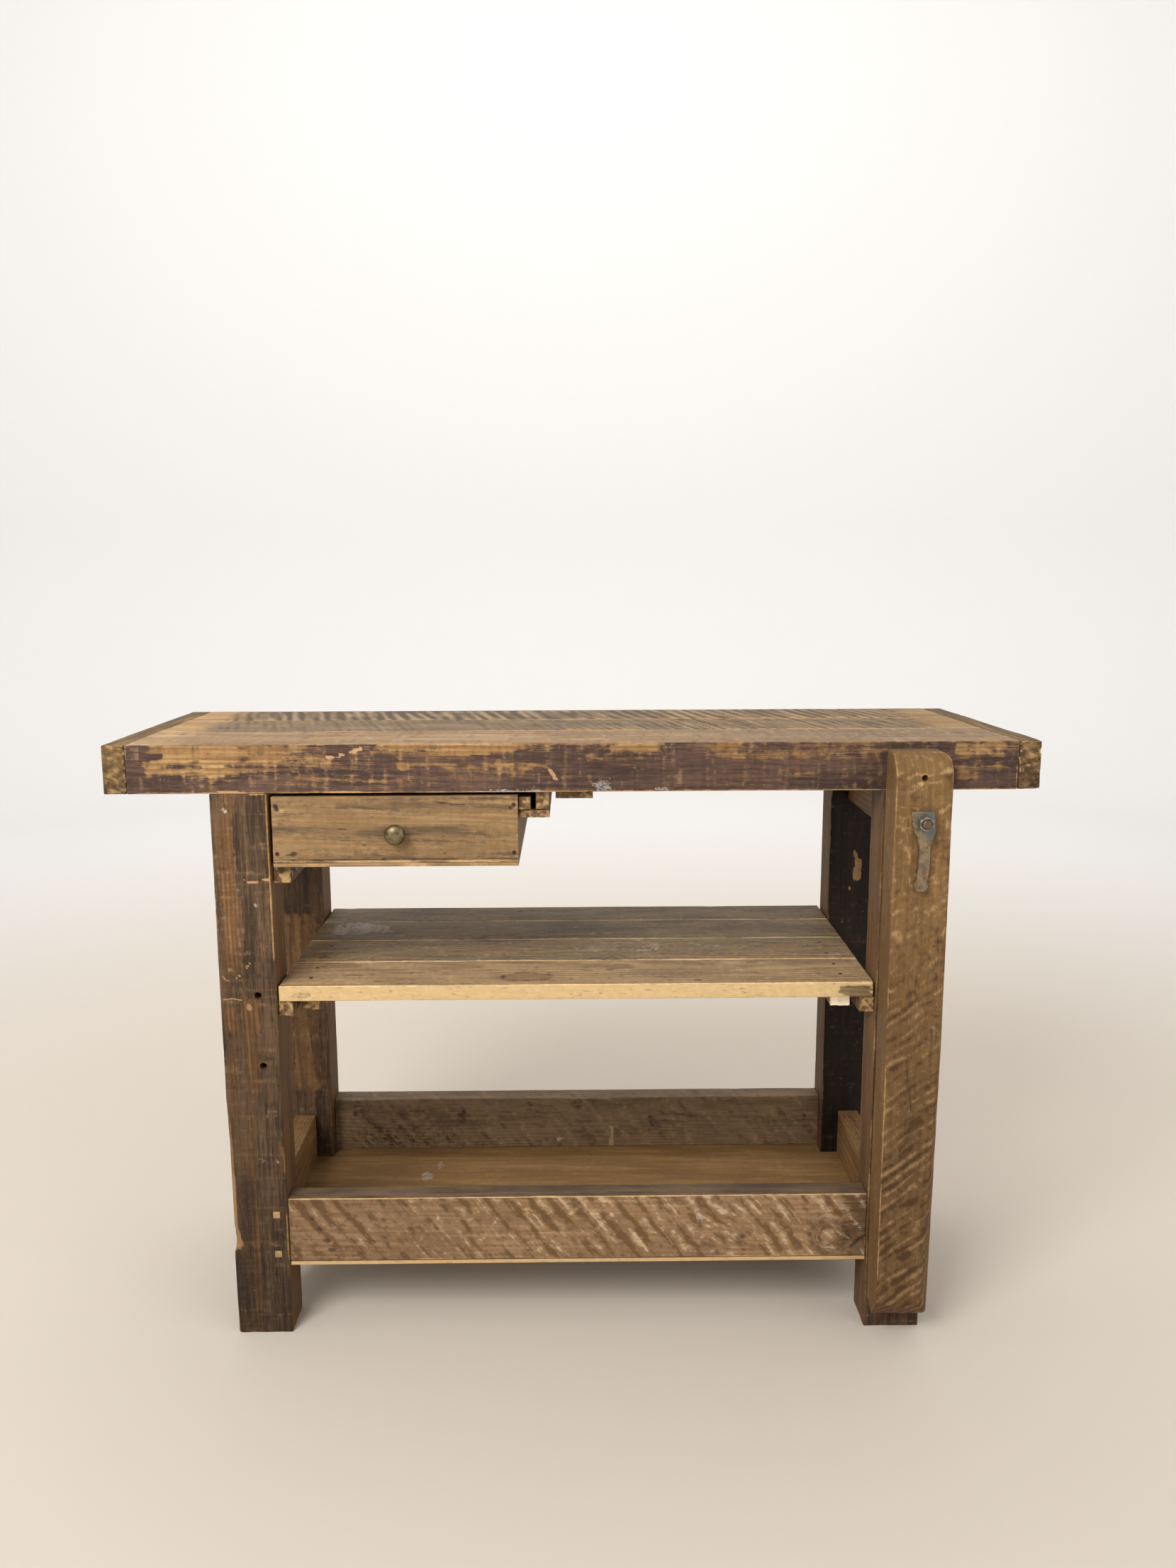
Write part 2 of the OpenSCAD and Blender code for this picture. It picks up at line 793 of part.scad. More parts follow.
// Outline of the lever round the screw's axis: a square-shouldered head, a neck and a round end
module lever_outline() {
    head_top = 16;
    polygon(concat(
        arc([-15, head_top - 4], 4, 180, 90, 5),
        arc([10, head_top - 4], 4, 90, 0, 5),
        [[16, -11], [13, -20], [8.9, -32], [9, -62]],
        arc([-1.7, -86], 9.8, 30, -210, 20),
        [[-6.6, -62], [-6.4, -32], [-10.5, -19], [-15.5, -10]]));
}

module vise_lever() {
    bench() color(iron) difference() {
        translate([screw_x, lever_y, screw_z]) rotate([90, 0, 0])
            linear_extrude(lever_t) lever_outline();
        rod_y(screw_x, screw_z, [nut_y - cut, lever_y + cut], stud_end_r);
    }
}

module vise_lever_nut() {
    bench() color(steel) difference() {
        translate([screw_x, nut_y, screw_z]) rotate([90, 0, 0])
            cylinder(r = nut_af / sqrt(3), h = nut_h, $fn = 6);
        rod_y(screw_x, screw_z, [nut_y - nut_h - cut, nut_y + cut], stud_end_r);
    }
}

module vise_washer() {
    bench() color(iron) difference() {
        rod_y(screw_x, screw_z, [lever_y, washer_y], washer_r);
        rod_y(screw_x, screw_z, [lever_y - cut, washer_y + cut], stud_end_r);
    }
}

// Collar on the stud that draws the jaw open; it sits in the jaw's rear face
module vise_collar() {
    bench() color(iron) difference() {
        rod_y(screw_x, screw_z, [jaw_y[1] - collar_t - 0.5, jaw_y[1] - 0.5], collar_r);
        rod_y(screw_x, screw_z, [jaw_y[1] - collar_t - cut, jaw_y[1] + cut], screw_r);
    }
}

// Iron nut let into the leg: a square flange and a round boss
module nut_plate_body(extra = 0) {
    half = plate_size / 2;
    block([screw_x - half, screw_x + half], [-extra, plate_t], [screw_z - half, screw_z + half]);
    rod_y(screw_x, screw_z, [plate_t - 1, plate_t + boss_l], boss_r);
}

module vise_nut_plate() {
    bench() color(iron) difference() {
        nut_plate_body();
        rod_y(screw_x, screw_z, [-cut, plate_t + boss_l + cut], screw_r + 0.05);
    }
}

module nut_plate_screws() {
    bench() color(steel) for (x = [-plate_hole, plate_hole]) for (z = [-plate_hole, plate_hole])
        translate([screw_x + x, 0, screw_z + z]) rotate([-90, 0, 0]) screw(28, 2.5);
}

// ---- The bench ----

top_plank_front();
top_plank_middle();
top_plank_rear();
top_end_cap_left();
top_end_cap_right();
top_batten();
leg_front_left();
leg_front_right();
leg_back_left();
leg_back_right();
rail_front();
rail_back();
rail_left();
rail_right();
upper_rail_left();
upper_rail_right();
rail_pegs();
side_rail_pegs();
tray_sheet();
tray_nails();
shelf_board_1();
shelf_board_2();
shelf_board_3();
shelf_board_4();
shelf_batten_left();
shelf_batten_right();
shelf_nails();
shelf_ledger_left();
shelf_ledger_right();
ledger_screws();
runner_spacer();
runner_ledge();
runner_screws();
batten_screws();
drawer_ledger();
drawer_front();
drawer_side_left();
drawer_side_right();
drawer_back();
drawer_bottom();
drawer_cleat();
drawer_knob();
drawer_knob_screw();
drawer_nails();
vise_jaw();
vise_guide();
vise_guide_pin();
vise_stud();
vise_lever();
vise_lever_nut();
vise_washer();
vise_collar();
vise_nut_plate();
nut_plate_screws();
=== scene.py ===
"""Looks of the reclaimed-timber workbench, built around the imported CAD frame.

Lengths are in millimetres and become metres when a mesh is made. Inside the script Y = 0 is the
front face of the top and of the front legs, as on a drawing of the bench; FRONT is where that
face lies in the frame. Every board is a grid of cells whose outer surface becomes quads, so it
keeps its real tenons, mortises and peg holes. Its arrises are then worn round and its faces
carved inwards by seeded noise, and each vertex carries what the material needs to know.
"""

import json
import math

import bpy
import numpy as np
from mathutils import Matrix, Vector


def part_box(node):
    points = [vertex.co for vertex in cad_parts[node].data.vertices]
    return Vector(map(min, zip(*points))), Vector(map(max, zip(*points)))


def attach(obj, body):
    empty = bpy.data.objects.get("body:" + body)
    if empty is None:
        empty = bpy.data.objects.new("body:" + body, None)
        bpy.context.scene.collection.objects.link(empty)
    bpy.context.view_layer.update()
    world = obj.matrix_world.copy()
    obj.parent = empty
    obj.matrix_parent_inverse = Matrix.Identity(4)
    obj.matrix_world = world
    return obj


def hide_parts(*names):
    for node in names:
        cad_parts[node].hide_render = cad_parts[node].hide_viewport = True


MM = 0.001
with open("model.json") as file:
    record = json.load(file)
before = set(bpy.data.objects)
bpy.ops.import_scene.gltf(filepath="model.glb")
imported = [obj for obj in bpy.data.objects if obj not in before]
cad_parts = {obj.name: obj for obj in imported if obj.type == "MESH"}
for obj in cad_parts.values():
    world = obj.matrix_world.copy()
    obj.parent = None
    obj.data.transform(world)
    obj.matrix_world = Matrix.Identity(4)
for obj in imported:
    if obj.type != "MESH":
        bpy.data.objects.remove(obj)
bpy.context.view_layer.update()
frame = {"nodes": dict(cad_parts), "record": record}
NODES = frame["nodes"]
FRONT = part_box("top_plank_front")[0].y / MM
BODY_OF = {n: b for b, ns in frame["record"]["behaviour"]["bodies"].items() for n in ns}


def box(node):
    """(lowest corner, highest corner) of a CAD node in millimetres, with Y from the bench's front."""
    shift = np.array([0, FRONT, 0])
    lo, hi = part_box(node)
    return (np.array(lo) / MM - shift).round(3), (np.array(hi) / MM - shift).round(3)


def loose_parts(node):
    """The points of each loose part of a CAD node."""
    mesh = NODES[node].data
    raw = np.array([v.co for v in mesh.vertices]) / MM - np.array([0, FRONT, 0])
    points, weld = np.unique(raw.round(3), axis=0, return_inverse=True)
    weld = weld.ravel()
    a, b = weld[np.array([e.vertices for e in mesh.edges])].T
    label = np.arange(len(points))
    while True:
        new = label.copy()
        low = np.minimum(label[a], label[b])
        np.minimum.at(new, a, low)
        np.minimum.at(new, b, low)
        new = new[new]
        if (new == label).all():
            break
        label = new
    return [points[label == k] for k in np.unique(label)]


def islands(node):
    """The boxes (lowest corner, highest corner) of each loose part of a CAD node."""
    return [(part.min(0), part.max(0)) for part in loose_parts(node)]


# ---- Numbers that repeat the same way each run ----

def hash01(i, j, k, seed):
    """A number from 0 to 1 for each whole-numbered place."""
    h = (i.astype(np.uint64) * 374761393 + j.astype(np.uint64) * 668265263
         + k.astype(np.uint64) * 2147483647 + np.uint64(seed * 1274126177)) & 0xFFFFFFFF
    h = ((h ^ (h >> 13)) * 1103515245) & 0xFFFFFFFF
    h = ((h ^ (h >> 16)) * 2246822519) & 0xFFFFFFFF
    return ((h ^ (h >> 15)) & 0xFFFFFF) / float(0xFFFFFF)


def noise(p, size, seed):
    """Smooth noise from -1 to 1 at points p; size is the width of its lumps along each axis."""
    q = p / np.asarray(size, float)
    cell = np.floor(q)
    f = q - cell
    f = f * f * (3 - 2 * f)
    cell = cell.astype(np.int64) + 100000
    total = np.zeros(len(p))
    for corner in range(8):
        step = np.array([corner & 1, corner >> 1 & 1, corner >> 2])
        weight = np.prod(np.where(step, f, 1 - f), axis=1)
        total += weight * hash01(*(cell + step).T, seed)
    return 2 * total - 1


def smooth(x, a, b):
    """0 below a and 1 above b, or the other way round when a > b."""
    t = np.clip((x - a) / (b - a), 0, 1)
    return t * t * (3 - 2 * t)


def patch(a, b, a0, a1, b0, b1, soft=6):
    """1 inside a rectangle on a face, falling to 0 over soft millimetres outside it."""
    return (smooth(a, a0 - soft, a0) * smooth(a, a1 + soft, a1)
            * smooth(b, b0 - soft, b0) * smooth(b, b1 + soft, b1))


def blob(a, b, ca, cb, ra, rb):
    """A soft spot: 1 in its middle and 0 from its rim outwards."""
    return np.clip(1 - ((a - ca) / ra) ** 2 - ((b - cb) / rb) ** 2, 0, 1)


def stroke(a, b, path, width):
    """1 along a line of points on a face, 0 beyond width from it."""
    near = np.full(len(a), 1e9)
    for (a0, b0), (a1, b1) in zip(path, path[1:]):
        da, db = a1 - a0, b1 - b0
        t = np.clip(((a - a0) * da + (b - b0) * db) / (da * da + db * db), 0, 1)
        near = np.minimum(near, np.hypot(a - a0 - t * da, b - b0 - t * db))
    return smooth(near, width, width * 0.4)


def spots(a, b, *rows):
    """The sum of soft spots; a row is (strength, centre, centre, radius, radius)."""
    return sum(strength * blob(a, b, *row) for strength, *row in rows)


def patches(a, b, *rows):
    """The sum of soft rectangles; a row is (strength, a0, a1, b0, b1, soft)."""
    return sum(strength * patch(a, b, *row) for strength, *row in rows)


def strokes(a, b, *rows):
    """The sum of lines; a row is (path, width)."""
    return sum(stroke(a, b, path, width) for path, width in rows)


def flat(u, v):
    """Points on a plane, for noise that follows marks across a face."""
    return np.stack([u, v, 0 * u], axis=1)


def diagonal(x, z, angle):
    """Distances across and along marks that climb to the right at an angle in degrees."""
    c, s = math.cos(math.radians(angle)), math.sin(math.radians(angle))
    return -x * s + z * c, x * c + z * s


def dug(saw):
    """How deep saw marks go: 0 on their crests and 1 in their grooves."""
    return 0.5 - 0.5 * np.clip(saw, -1, 1)


# ---- Boards ----

NEAR_ARRIS = (0.5, 1.2, 2.1, 3.3, 5.0, 7.5)
SHARP_ANGLE = math.radians(48)
CHIP_DEPTH = 2.6
# how far round a hole the grid is bent, in radii, and where its extra lines lie
HOLE_REACH = 1.6
HOLE_LINES = np.linspace(-HOLE_REACH, HOLE_REACH, 17)


def lines(lo, hi, step, extra):
    """Grid lines from lo to hi, close together at both ends, with the extra lines exactly in."""
    near = [d for d in NEAR_ARRIS if d < 0.4 * (hi - lo)]
    inner = hi - lo - 2 * near[-1]
    count = max(1, round(inner / step))
    wanted = [lo + d for d in near] + [hi - d for d in near]
    wanted += [lo + near[-1] + inner * i / count for i in range(1, count)]
    kept = sorted({round(v, 3) for v in (lo, hi, *extra)})
    for v in sorted(wanted):
        gap = 0.25 if min(v - lo, hi - v) < 2 else 0.3 * step
        if min(abs(v - k) for k in kept) > gap:
            kept.append(v)
    return np.array(sorted(kept))


def cell_surface(axes, solid):
    """The closed quad surface of the solid cells of a grid, as points and corner numbers."""
    corners = (((0, 0, 0), (0, 1, 0), (0, 1, 1), (0, 0, 1)),
               ((0, 0, 0), (0, 0, 1), (1, 0, 1), (1, 0, 0)),
               ((0, 0, 0), (1, 0, 0), (1, 1, 0), (0, 1, 0)))
    padded = np.pad(solid, 1).astype(np.int8)
    found = []
    for axis in range(3):
        keep = [slice(1, -1)] * 3
        keep[axis] = slice(None)
        change = np.diff(padded, axis=axis)[tuple(keep)]
        quads = np.argwhere(change)[:, None, :] + np.array(corners[axis])[None]
        into = change[change != 0] > 0
        quads[into] = quads[into][:, ::-1]
        found.append(quads)
    quads = np.concatenate(found)
    counts = [len(a) for a in axes]
    key = (quads[..., 0] * counts[1] + quads[..., 1]) * counts[2] + quads[..., 2]
    used, index = np.unique(key, return_inverse=True)
    i, rest = np.divmod(used, counts[1] * counts[2])
    j, k = np.divmod(rest, counts[2])
    points = np.stack([axes[0][i], axes[1][j], axes[2][k]], axis=1)
    return points, index.reshape(-1, 4)


def make_mesh(name, points, faces):
    """A mesh object from points in millimetres; faces is an array of quads or a list of polygons."""
    mesh = bpy.data.meshes.new(name)
    moved = (points + np.array([0, FRONT, 0])) * MM
    if isinstance(faces, np.ndarray):
        mesh.vertices.add(len(moved))
        mesh.vertices.foreach_set("co", moved.astype(np.float32).ravel())
        mesh.loops.add(faces.size)
        mesh.loops.foreach_set("vertex_index", faces.astype(np.int32).ravel())
        mesh.polygons.add(len(faces))
        mesh.polygons.foreach_set("loop_start", np.arange(0, faces.size, 4, dtype=np.int32))
        mesh.update(calc_edges=True)
    else:
        mesh.from_pydata(moved.tolist(), [], faces)
        mesh.update()
    mesh.validate()
    mesh.shade_smooth()
    mesh.set_sharp_from_angle(angle=SHARP_ANGLE)
    obj = bpy.data.objects.new(name, mesh)
    bpy.context.scene.collection.objects.link(obj)
    return obj


def place(obj, node, material):
    """obj stands for the CAD node, rides on its body and wears its material."""
    obj.data.materials.clear()
    obj.data.materials.append(material)
    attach(obj, BODY_OF[node])
    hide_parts(node)
    return obj


def second_material(obj, material, axis, sign):
    """Gives the faces of one side of a board a material of their own."""
    obj.data.materials.append(material)
    normals = np.empty(len(obj.data.polygons) * 3, np.float32)
    obj.data.polygons.foreach_get("normal", normals)
    there = sign * normals.reshape(-1, 3)[:, "XYZ".index(axis)] > 0.75
    obj.data.polygons.foreach_set("material_index", there.astype(np.int32))


def set_vectors(obj, **vectors):
    """Stores a vector per point under each name, for the materials to read."""
    for name, values in vectors.items():
        attribute = obj.data.attributes.new(name, "FLOAT_VECTOR", "POINT")
        attribute.data.foreach_set("vector", values.astype(np.float32).ravel())


class Face:
    """The points of a board's surface while it is being worn and carved.

    cut is how far a point sinks in millimetres. The rest is what the material reads, mostly from
    0 to 1: coat, wear, mark (saw marks, -1 to 1), smear, grime, shade (darker above 0) and knot
    (the distance from a knot's middle over its radius, 3 where there is none).
    """

    def __init__(self, points, lo, hi, along, seed):
        self.p, self.lo, self.hi, self.along, self.seed = points, lo, hi, along, seed
        self.x, self.y, self.z = points.T
        depth = np.minimum(points - lo, hi - points)
        self.arris = np.sort(depth, axis=1)[:, 1]
        self.to_end = depth[:, along]
        self.normal = np.zeros_like(points)
        for name in ("cut", "coat", "wear", "mark", "smear", "grime", "shade"):
            setattr(self, name, np.zeros(len(points)))
        self.knot = np.full(len(points), 3.0)
        # wx, wy and wz waver, so that a patch placed with them has a ragged outline
        self.wx = self.x + 9 * self.noise((30, 30, 7), 11) + 6 * self.noise((9, 9, 3), 12)
        self.wy = self.y + 6 * self.noise((26, 26, 9), 13) + 3 * self.noise((9, 9, 3.5), 14)
        self.wz = self.z + 3.5 * self.noise((34, 34, 9), 15) + 1.5 * self.noise((12, 12, 4), 16)

    def facing(self, axis, sign):
        """How far each point faces one way, from 0 to 1."""
        return np.clip(sign * self.normal[:, "XYZ".index(axis)], 0, 1)

    def face_sides(self):
        """Works out how far each point faces each way, once the normals are known."""
        self.left, self.right = self.facing("X", -1), self.facing("X", 1)
        self.front, self.back = self.facing("Y", -1), self.facing("Y", 1)
        self.under, self.top = self.facing("Z", -1), self.facing("Z", 1)

    def noise(self, size, extra=0):
        return noise(self.p, size, self.seed + extra)

    def rub(self, amount):
        """Raises the wear to amount where it is less."""
        self.wear = np.maximum(self.wear, amount)

    def add_knot(self, distance, where):
        """Puts a knot in; distance is measured in its radii."""
        self.knot = np.where(where, np.minimum(self.knot, distance), self.knot)


def grain_size(along, length, across):
    """A noise size that is long along the grain."""
    size = [across] * 3
    size[along] = length
    return size


def square_holes(bores):
    """The boxes of square cells that round holes are bent from."""
    holes = []
    for axis, a, b, radii, ends in bores:
        for r, span in zip(radii, ends):
            low, high = [a - r, b - r], [a + r, b + r]
            low.insert("XYZ".index(axis), span[0])
            high.insert("XYZ".index(axis), span[1])
            holes.append((low, high))
    return holes


def board_axes(lo, hi, add, holes, bores, step):
    """The grid lines of a board, with extra ones for its tenons, mortises and round holes."""
    axes = []
    for k in range(3):
        extra = [corner[k] for pair in [*add, *holes] for corner in pair]
        for axis, a, b, radii, _ in bores:
            across = [i for i in range(3) if i != "XYZ".index(axis)]
            if k in across:
                centre = (a, b)[across.index(k)]
                extra += [centre + max(radii) * t for t in HOLE_LINES]
        low = min([lo[k]] + [c[0][k] for c in add])
        high = max([hi[k]] + [c[1][k] for c in add])
        axes.append(lines(lo[k], hi[k], step, [v for v in extra if low <= v <= high]))
    return axes


def solid_cells(axes, lo, hi, add, holes):
    """Which cells of the grid are wood."""
    middles = [(a[1:] + a[:-1]) / 2 for a in axes]

    def inside(low, high):
        spans = [(m > low[k]) & (m < high[k]) for k, m in enumerate(middles)]
        return spans[0][:, None, None] & spans[1][None, :, None] & spans[2][None, None, :]

    solid = inside(lo, hi)
    for low, high in add:
        solid |= inside(low, high)
    for low, high in holes:
        solid &= ~inside(low, high)
    return solid


def bend_round(points, bores):
    """Bends the square holes round, and the grid around them with them."""
    for axis, a, b, radii, _ in bores:
        i, j = [k for k in range(3) if k != "XYZ".index(axis)]
        u, v = points[:, i] - a, points[:, j] - b
        square = np.maximum(abs(u), abs(v))
        bend = smooth(square, max(radii) * HOLE_REACH, max(radii) * 1.02)
        scale = 1 + bend * (square / np.maximum(np.hypot(u, v), 1e-6) - 1)
        points[:, i], points[:, j] = a + u * scale, b + v * scale


def round_arrises(face, radius, chipped):
    """Pulls the points outside a box with rounded corners onto it and finds the normals."""
    points, lo, hi = face.p, face.lo, face.hi
    in_box = np.all((points >= lo - 1e-6) & (points <= hi + 1e-6), axis=1)
    r = radius * (1 + 0.45 * face.noise(grain_size(face.along, 60, 15), 1)) + CHIP_DEPTH * chipped
    r = np.minimum(r, 0.45 * (hi - lo).min())[:, None]
    core = np.clip(points, lo + r, hi - r)
    off = points - core
    far = np.maximum(np.linalg.norm(off, axis=1, keepdims=True), 1e-9)
    outer = (far > r - 1e-4) & in_box[:, None]
    face.normal = np.where(outer, off / far, 0)
    face.face_sides()
    return np.where(outer & (far > r), core + off / far * r, points)


def weather(face, rough, chipped):
    """A little warp, roughness along the grain, and arrises that are rubbed pale."""
    k = face.along
    face.cut += rough * (0.5 + 0.5 * face.noise(grain_size(k, 120, 40), 2))
    face.cut += 0.4 * rough * (0.5 + 0.5 * face.noise(grain_size(k, 18, 3.5), 3))
    face.cut += rough * 1.5 * smooth(face.noise(grain_size(k, 30, 8), 4), 0.6, 0.9)
    worn = smooth(face.arris, 5, 0.4) * (0.55 + 0.6 * face.noise(grain_size(k, 45, 20), 6))
    face.wear = np.maximum(worn * 0.75, chipped * smooth(face.arris, 6, 1))


def grain_places(face, pith, tilt):
    """Each point's place in the log: along the grain, and across it from the tree's heart."""
    k = face.along
    rel = face.p - (face.lo + face.hi) / 2
    grain = rel[:, [k] + [i for i in range(3) if i != k]]
    for i, length in ((1, 260), (2, 220)):
        grain[:, i] += (-pith[i - 1] + tilt[i - 1] * grain[:, 0]
                        + 3.0 * face.noise(grain_size(k, length, 120), 6 + i))
    # the grain swerves round a knot
    ease = face.knot ** 2 / (face.knot ** 2 + 0.6)
    near = np.exp(-((face.knot / 1.6) ** 2))
    grain[:, 1:] += (near * (1 - ease) * 9)[:, None]
    grain[:, 0] += (face.seed * 37) % 5000
    return grain


def board(node, material, along="X", body=None, add=(), cut=(), bores=(), radius=1.4, step=3.2,
          rough=0.25, chips=0.5, pith=(30, -50), tilt=(0.004, 0.01), carve=None, shape=None):
    """One board of the bench, which replaces its CAD node.

    body is the board without its tenons; add and cut are boxes (lowest, highest corner). bores
    are (axis, centre, centre, radii, spans along the axis) of round holes, whose square cells are
    bent round. pith is where the tree's heart lies from the board's middle, across the grain, and
    tilt how the board leans across it. carve(face) adds marks, and shape(points, face) bends the
    whole board.
    """
    lo, hi = box(node) if body is None else body
    lo, hi = np.array(lo, float), np.array(hi, float)
    seed = sum(ord(c) * (i + 3) for i, c in enumerate(node)) % 9973
    holes = list(cut) + square_holes(bores)
    axes = board_axes(lo, hi, add, holes, bores, step)
    points, quads = cell_surface(axes, solid_cells(axes, lo, hi, add, holes))
    bend_round(points, bores)

    face = Face(points, lo, hi, "XYZ".index(along), seed)
    chipped = smooth(face.noise(grain_size(face.along, 26, 9), 5), 0.45, 0.85) * chips
    worn = round_arrises(face, radius, chipped)
    weather(face, rough, chipped)
    if carve:
        carve(face)
    outer = np.linalg.norm(face.normal, axis=1) > 0.5
    worn = worn - face.normal * (face.cut * outer)[:, None]
    if shape:
        worn = shape(worn, face)
    obj = make_mesh(node + "_board", worn, quads)
    set_vectors(obj, grain=grain_places(face, pith, tilt),
                tone=np.stack([face.coat, face.wear, face.mark], axis=1),
                spot=np.stack([face.knot, face.smear, face.grime], axis=1))
    attribute = obj.data.attributes.new("shade", "FLOAT", "POINT")
    attribute.data.foreach_set("value", face.shade.astype(np.float32))
    return place(obj, node, material)


# ---- Materials ----

def srgb(text):
    """A colour as written on screen, '#rrggbb', in the linear numbers that shaders take."""
    values = [int(text[i:i + 2], 16) / 255 for i in (1, 3, 5)]
    return tuple(v / 12.92 if v <= 0.04045 else ((v + 0.055) / 1.055) ** 2.4 for v in values) + (1,)


class Value:
    """What a node puts out. + - * / between values put Math nodes into the tree."""

    def __init__(self, nodes, socket):
        self.nodes, self.socket = nodes, socket

    def __add__(self, other):
        return self.nodes.math("ADD", self, other)

    def __sub__(self, other):
        return self.nodes.math("SUBTRACT", self, other)

    def __rsub__(self, other):
        return self.nodes.math("SUBTRACT", other, self)

    def __mul__(self, other):
        return self.nodes.math("MULTIPLY", self, other)

    def __truediv__(self, other):
        return self.nodes.math("DIVIDE", self, other)

    __radd__ = __add__
    __rmul__ = __mul__


class Nodes:
    """Short calls that build the node tree of one material."""

    def __init__(self, name):
        self.material = bpy.data.materials.new(name)
        self.material.use_nodes = True
        self.tree = self.material.node_tree
        self.shader = self.tree.nodes["Principled BSDF"]

    def put(self, value, socket):
        if isinstance(value, Value):
            self.tree.links.new(value.socket, socket)
        else:
            socket.default_value = value

    def finish(self, **inputs):
        """Connects what goes into the shader; 'Base Color' is written base_color, and so on."""
        for name, value in inputs.items():
            title = name.replace("_", " ").title().replace("Ior", "IOR")
            self.put(value, self.shader.inputs[title])
        return self.material

    def make(self, kind, inputs, output=0, **settings):
        """The output of a new node; inputs maps the names or numbers of its sockets to values."""
        made = self.tree.nodes.new("ShaderNode" + kind)
        for name, value in settings.items():
            setattr(made, name, value)
        for socket, value in inputs.items():
            self.put(value, made.inputs[socket])
        return Value(self, made.outputs[output])

    def attribute(self, name, output="Vector"):
        return self.make("Attribute", {}, output, attribute_name=name)

    def millimetres(self):
        """Where a point lies on its object."""
        return self.scaled(self.make("TexCoord", {}, "Object"), (1 / MM, 1 / MM, 1 / MM))

    def split(self, vector):
        made = self.make("SeparateXYZ", {0: vector}).socket.node
        return [Value(self, socket) for socket in made.outputs]

    def math(self, operation, *values):
        return self.make("Math", dict(enumerate(values)), operation=operation)

    def scaled(self, vector, scale):
        return self.make("VectorMath", {0: vector, 1: scale}, operation="MULTIPLY")

    def noise(self, vector, scale, detail=2.0, rough=0.5):
        """Noise from 0 to 1; scale holds the number of lumps per millimetre along each axis."""
        return self.make("TexNoise", {"Vector": self.scaled(vector, scale), "Scale": 1.0,
                                      "Detail": detail, "Roughness": rough}, noise_dimensions="3D")

    def wide_noise(self, *how):
        """Noise hugs 0.5; this is spread over 0 to 1."""
        return self.make("MapRange", {"Value": self.noise(*how), "From Min": 0.3, "From Max": 0.7})

    def smooth(self, value, low, high, top=1.0):
        """0 below low and top above high, or the other way round when low > high."""
        return self.make("MapRange", {"Value": value, "From Min": low, "From Max": high,
                                      "To Min": 0.0, "To Max": top},
                         interpolation_type="SMOOTHSTEP")

    def mix(self, share, a, b):
        a, b = (srgb(c) if isinstance(c, str) else c for c in (a, b))
        return self.make("Mix", {0: share, 6: a, 7: b}, 2, data_type="RGBA")

    def bump(self, height, strength, distance):
        return self.make("Bump", {"Height": height, "Strength": strength,
                                  "Distance": distance * MM}, "Normal")


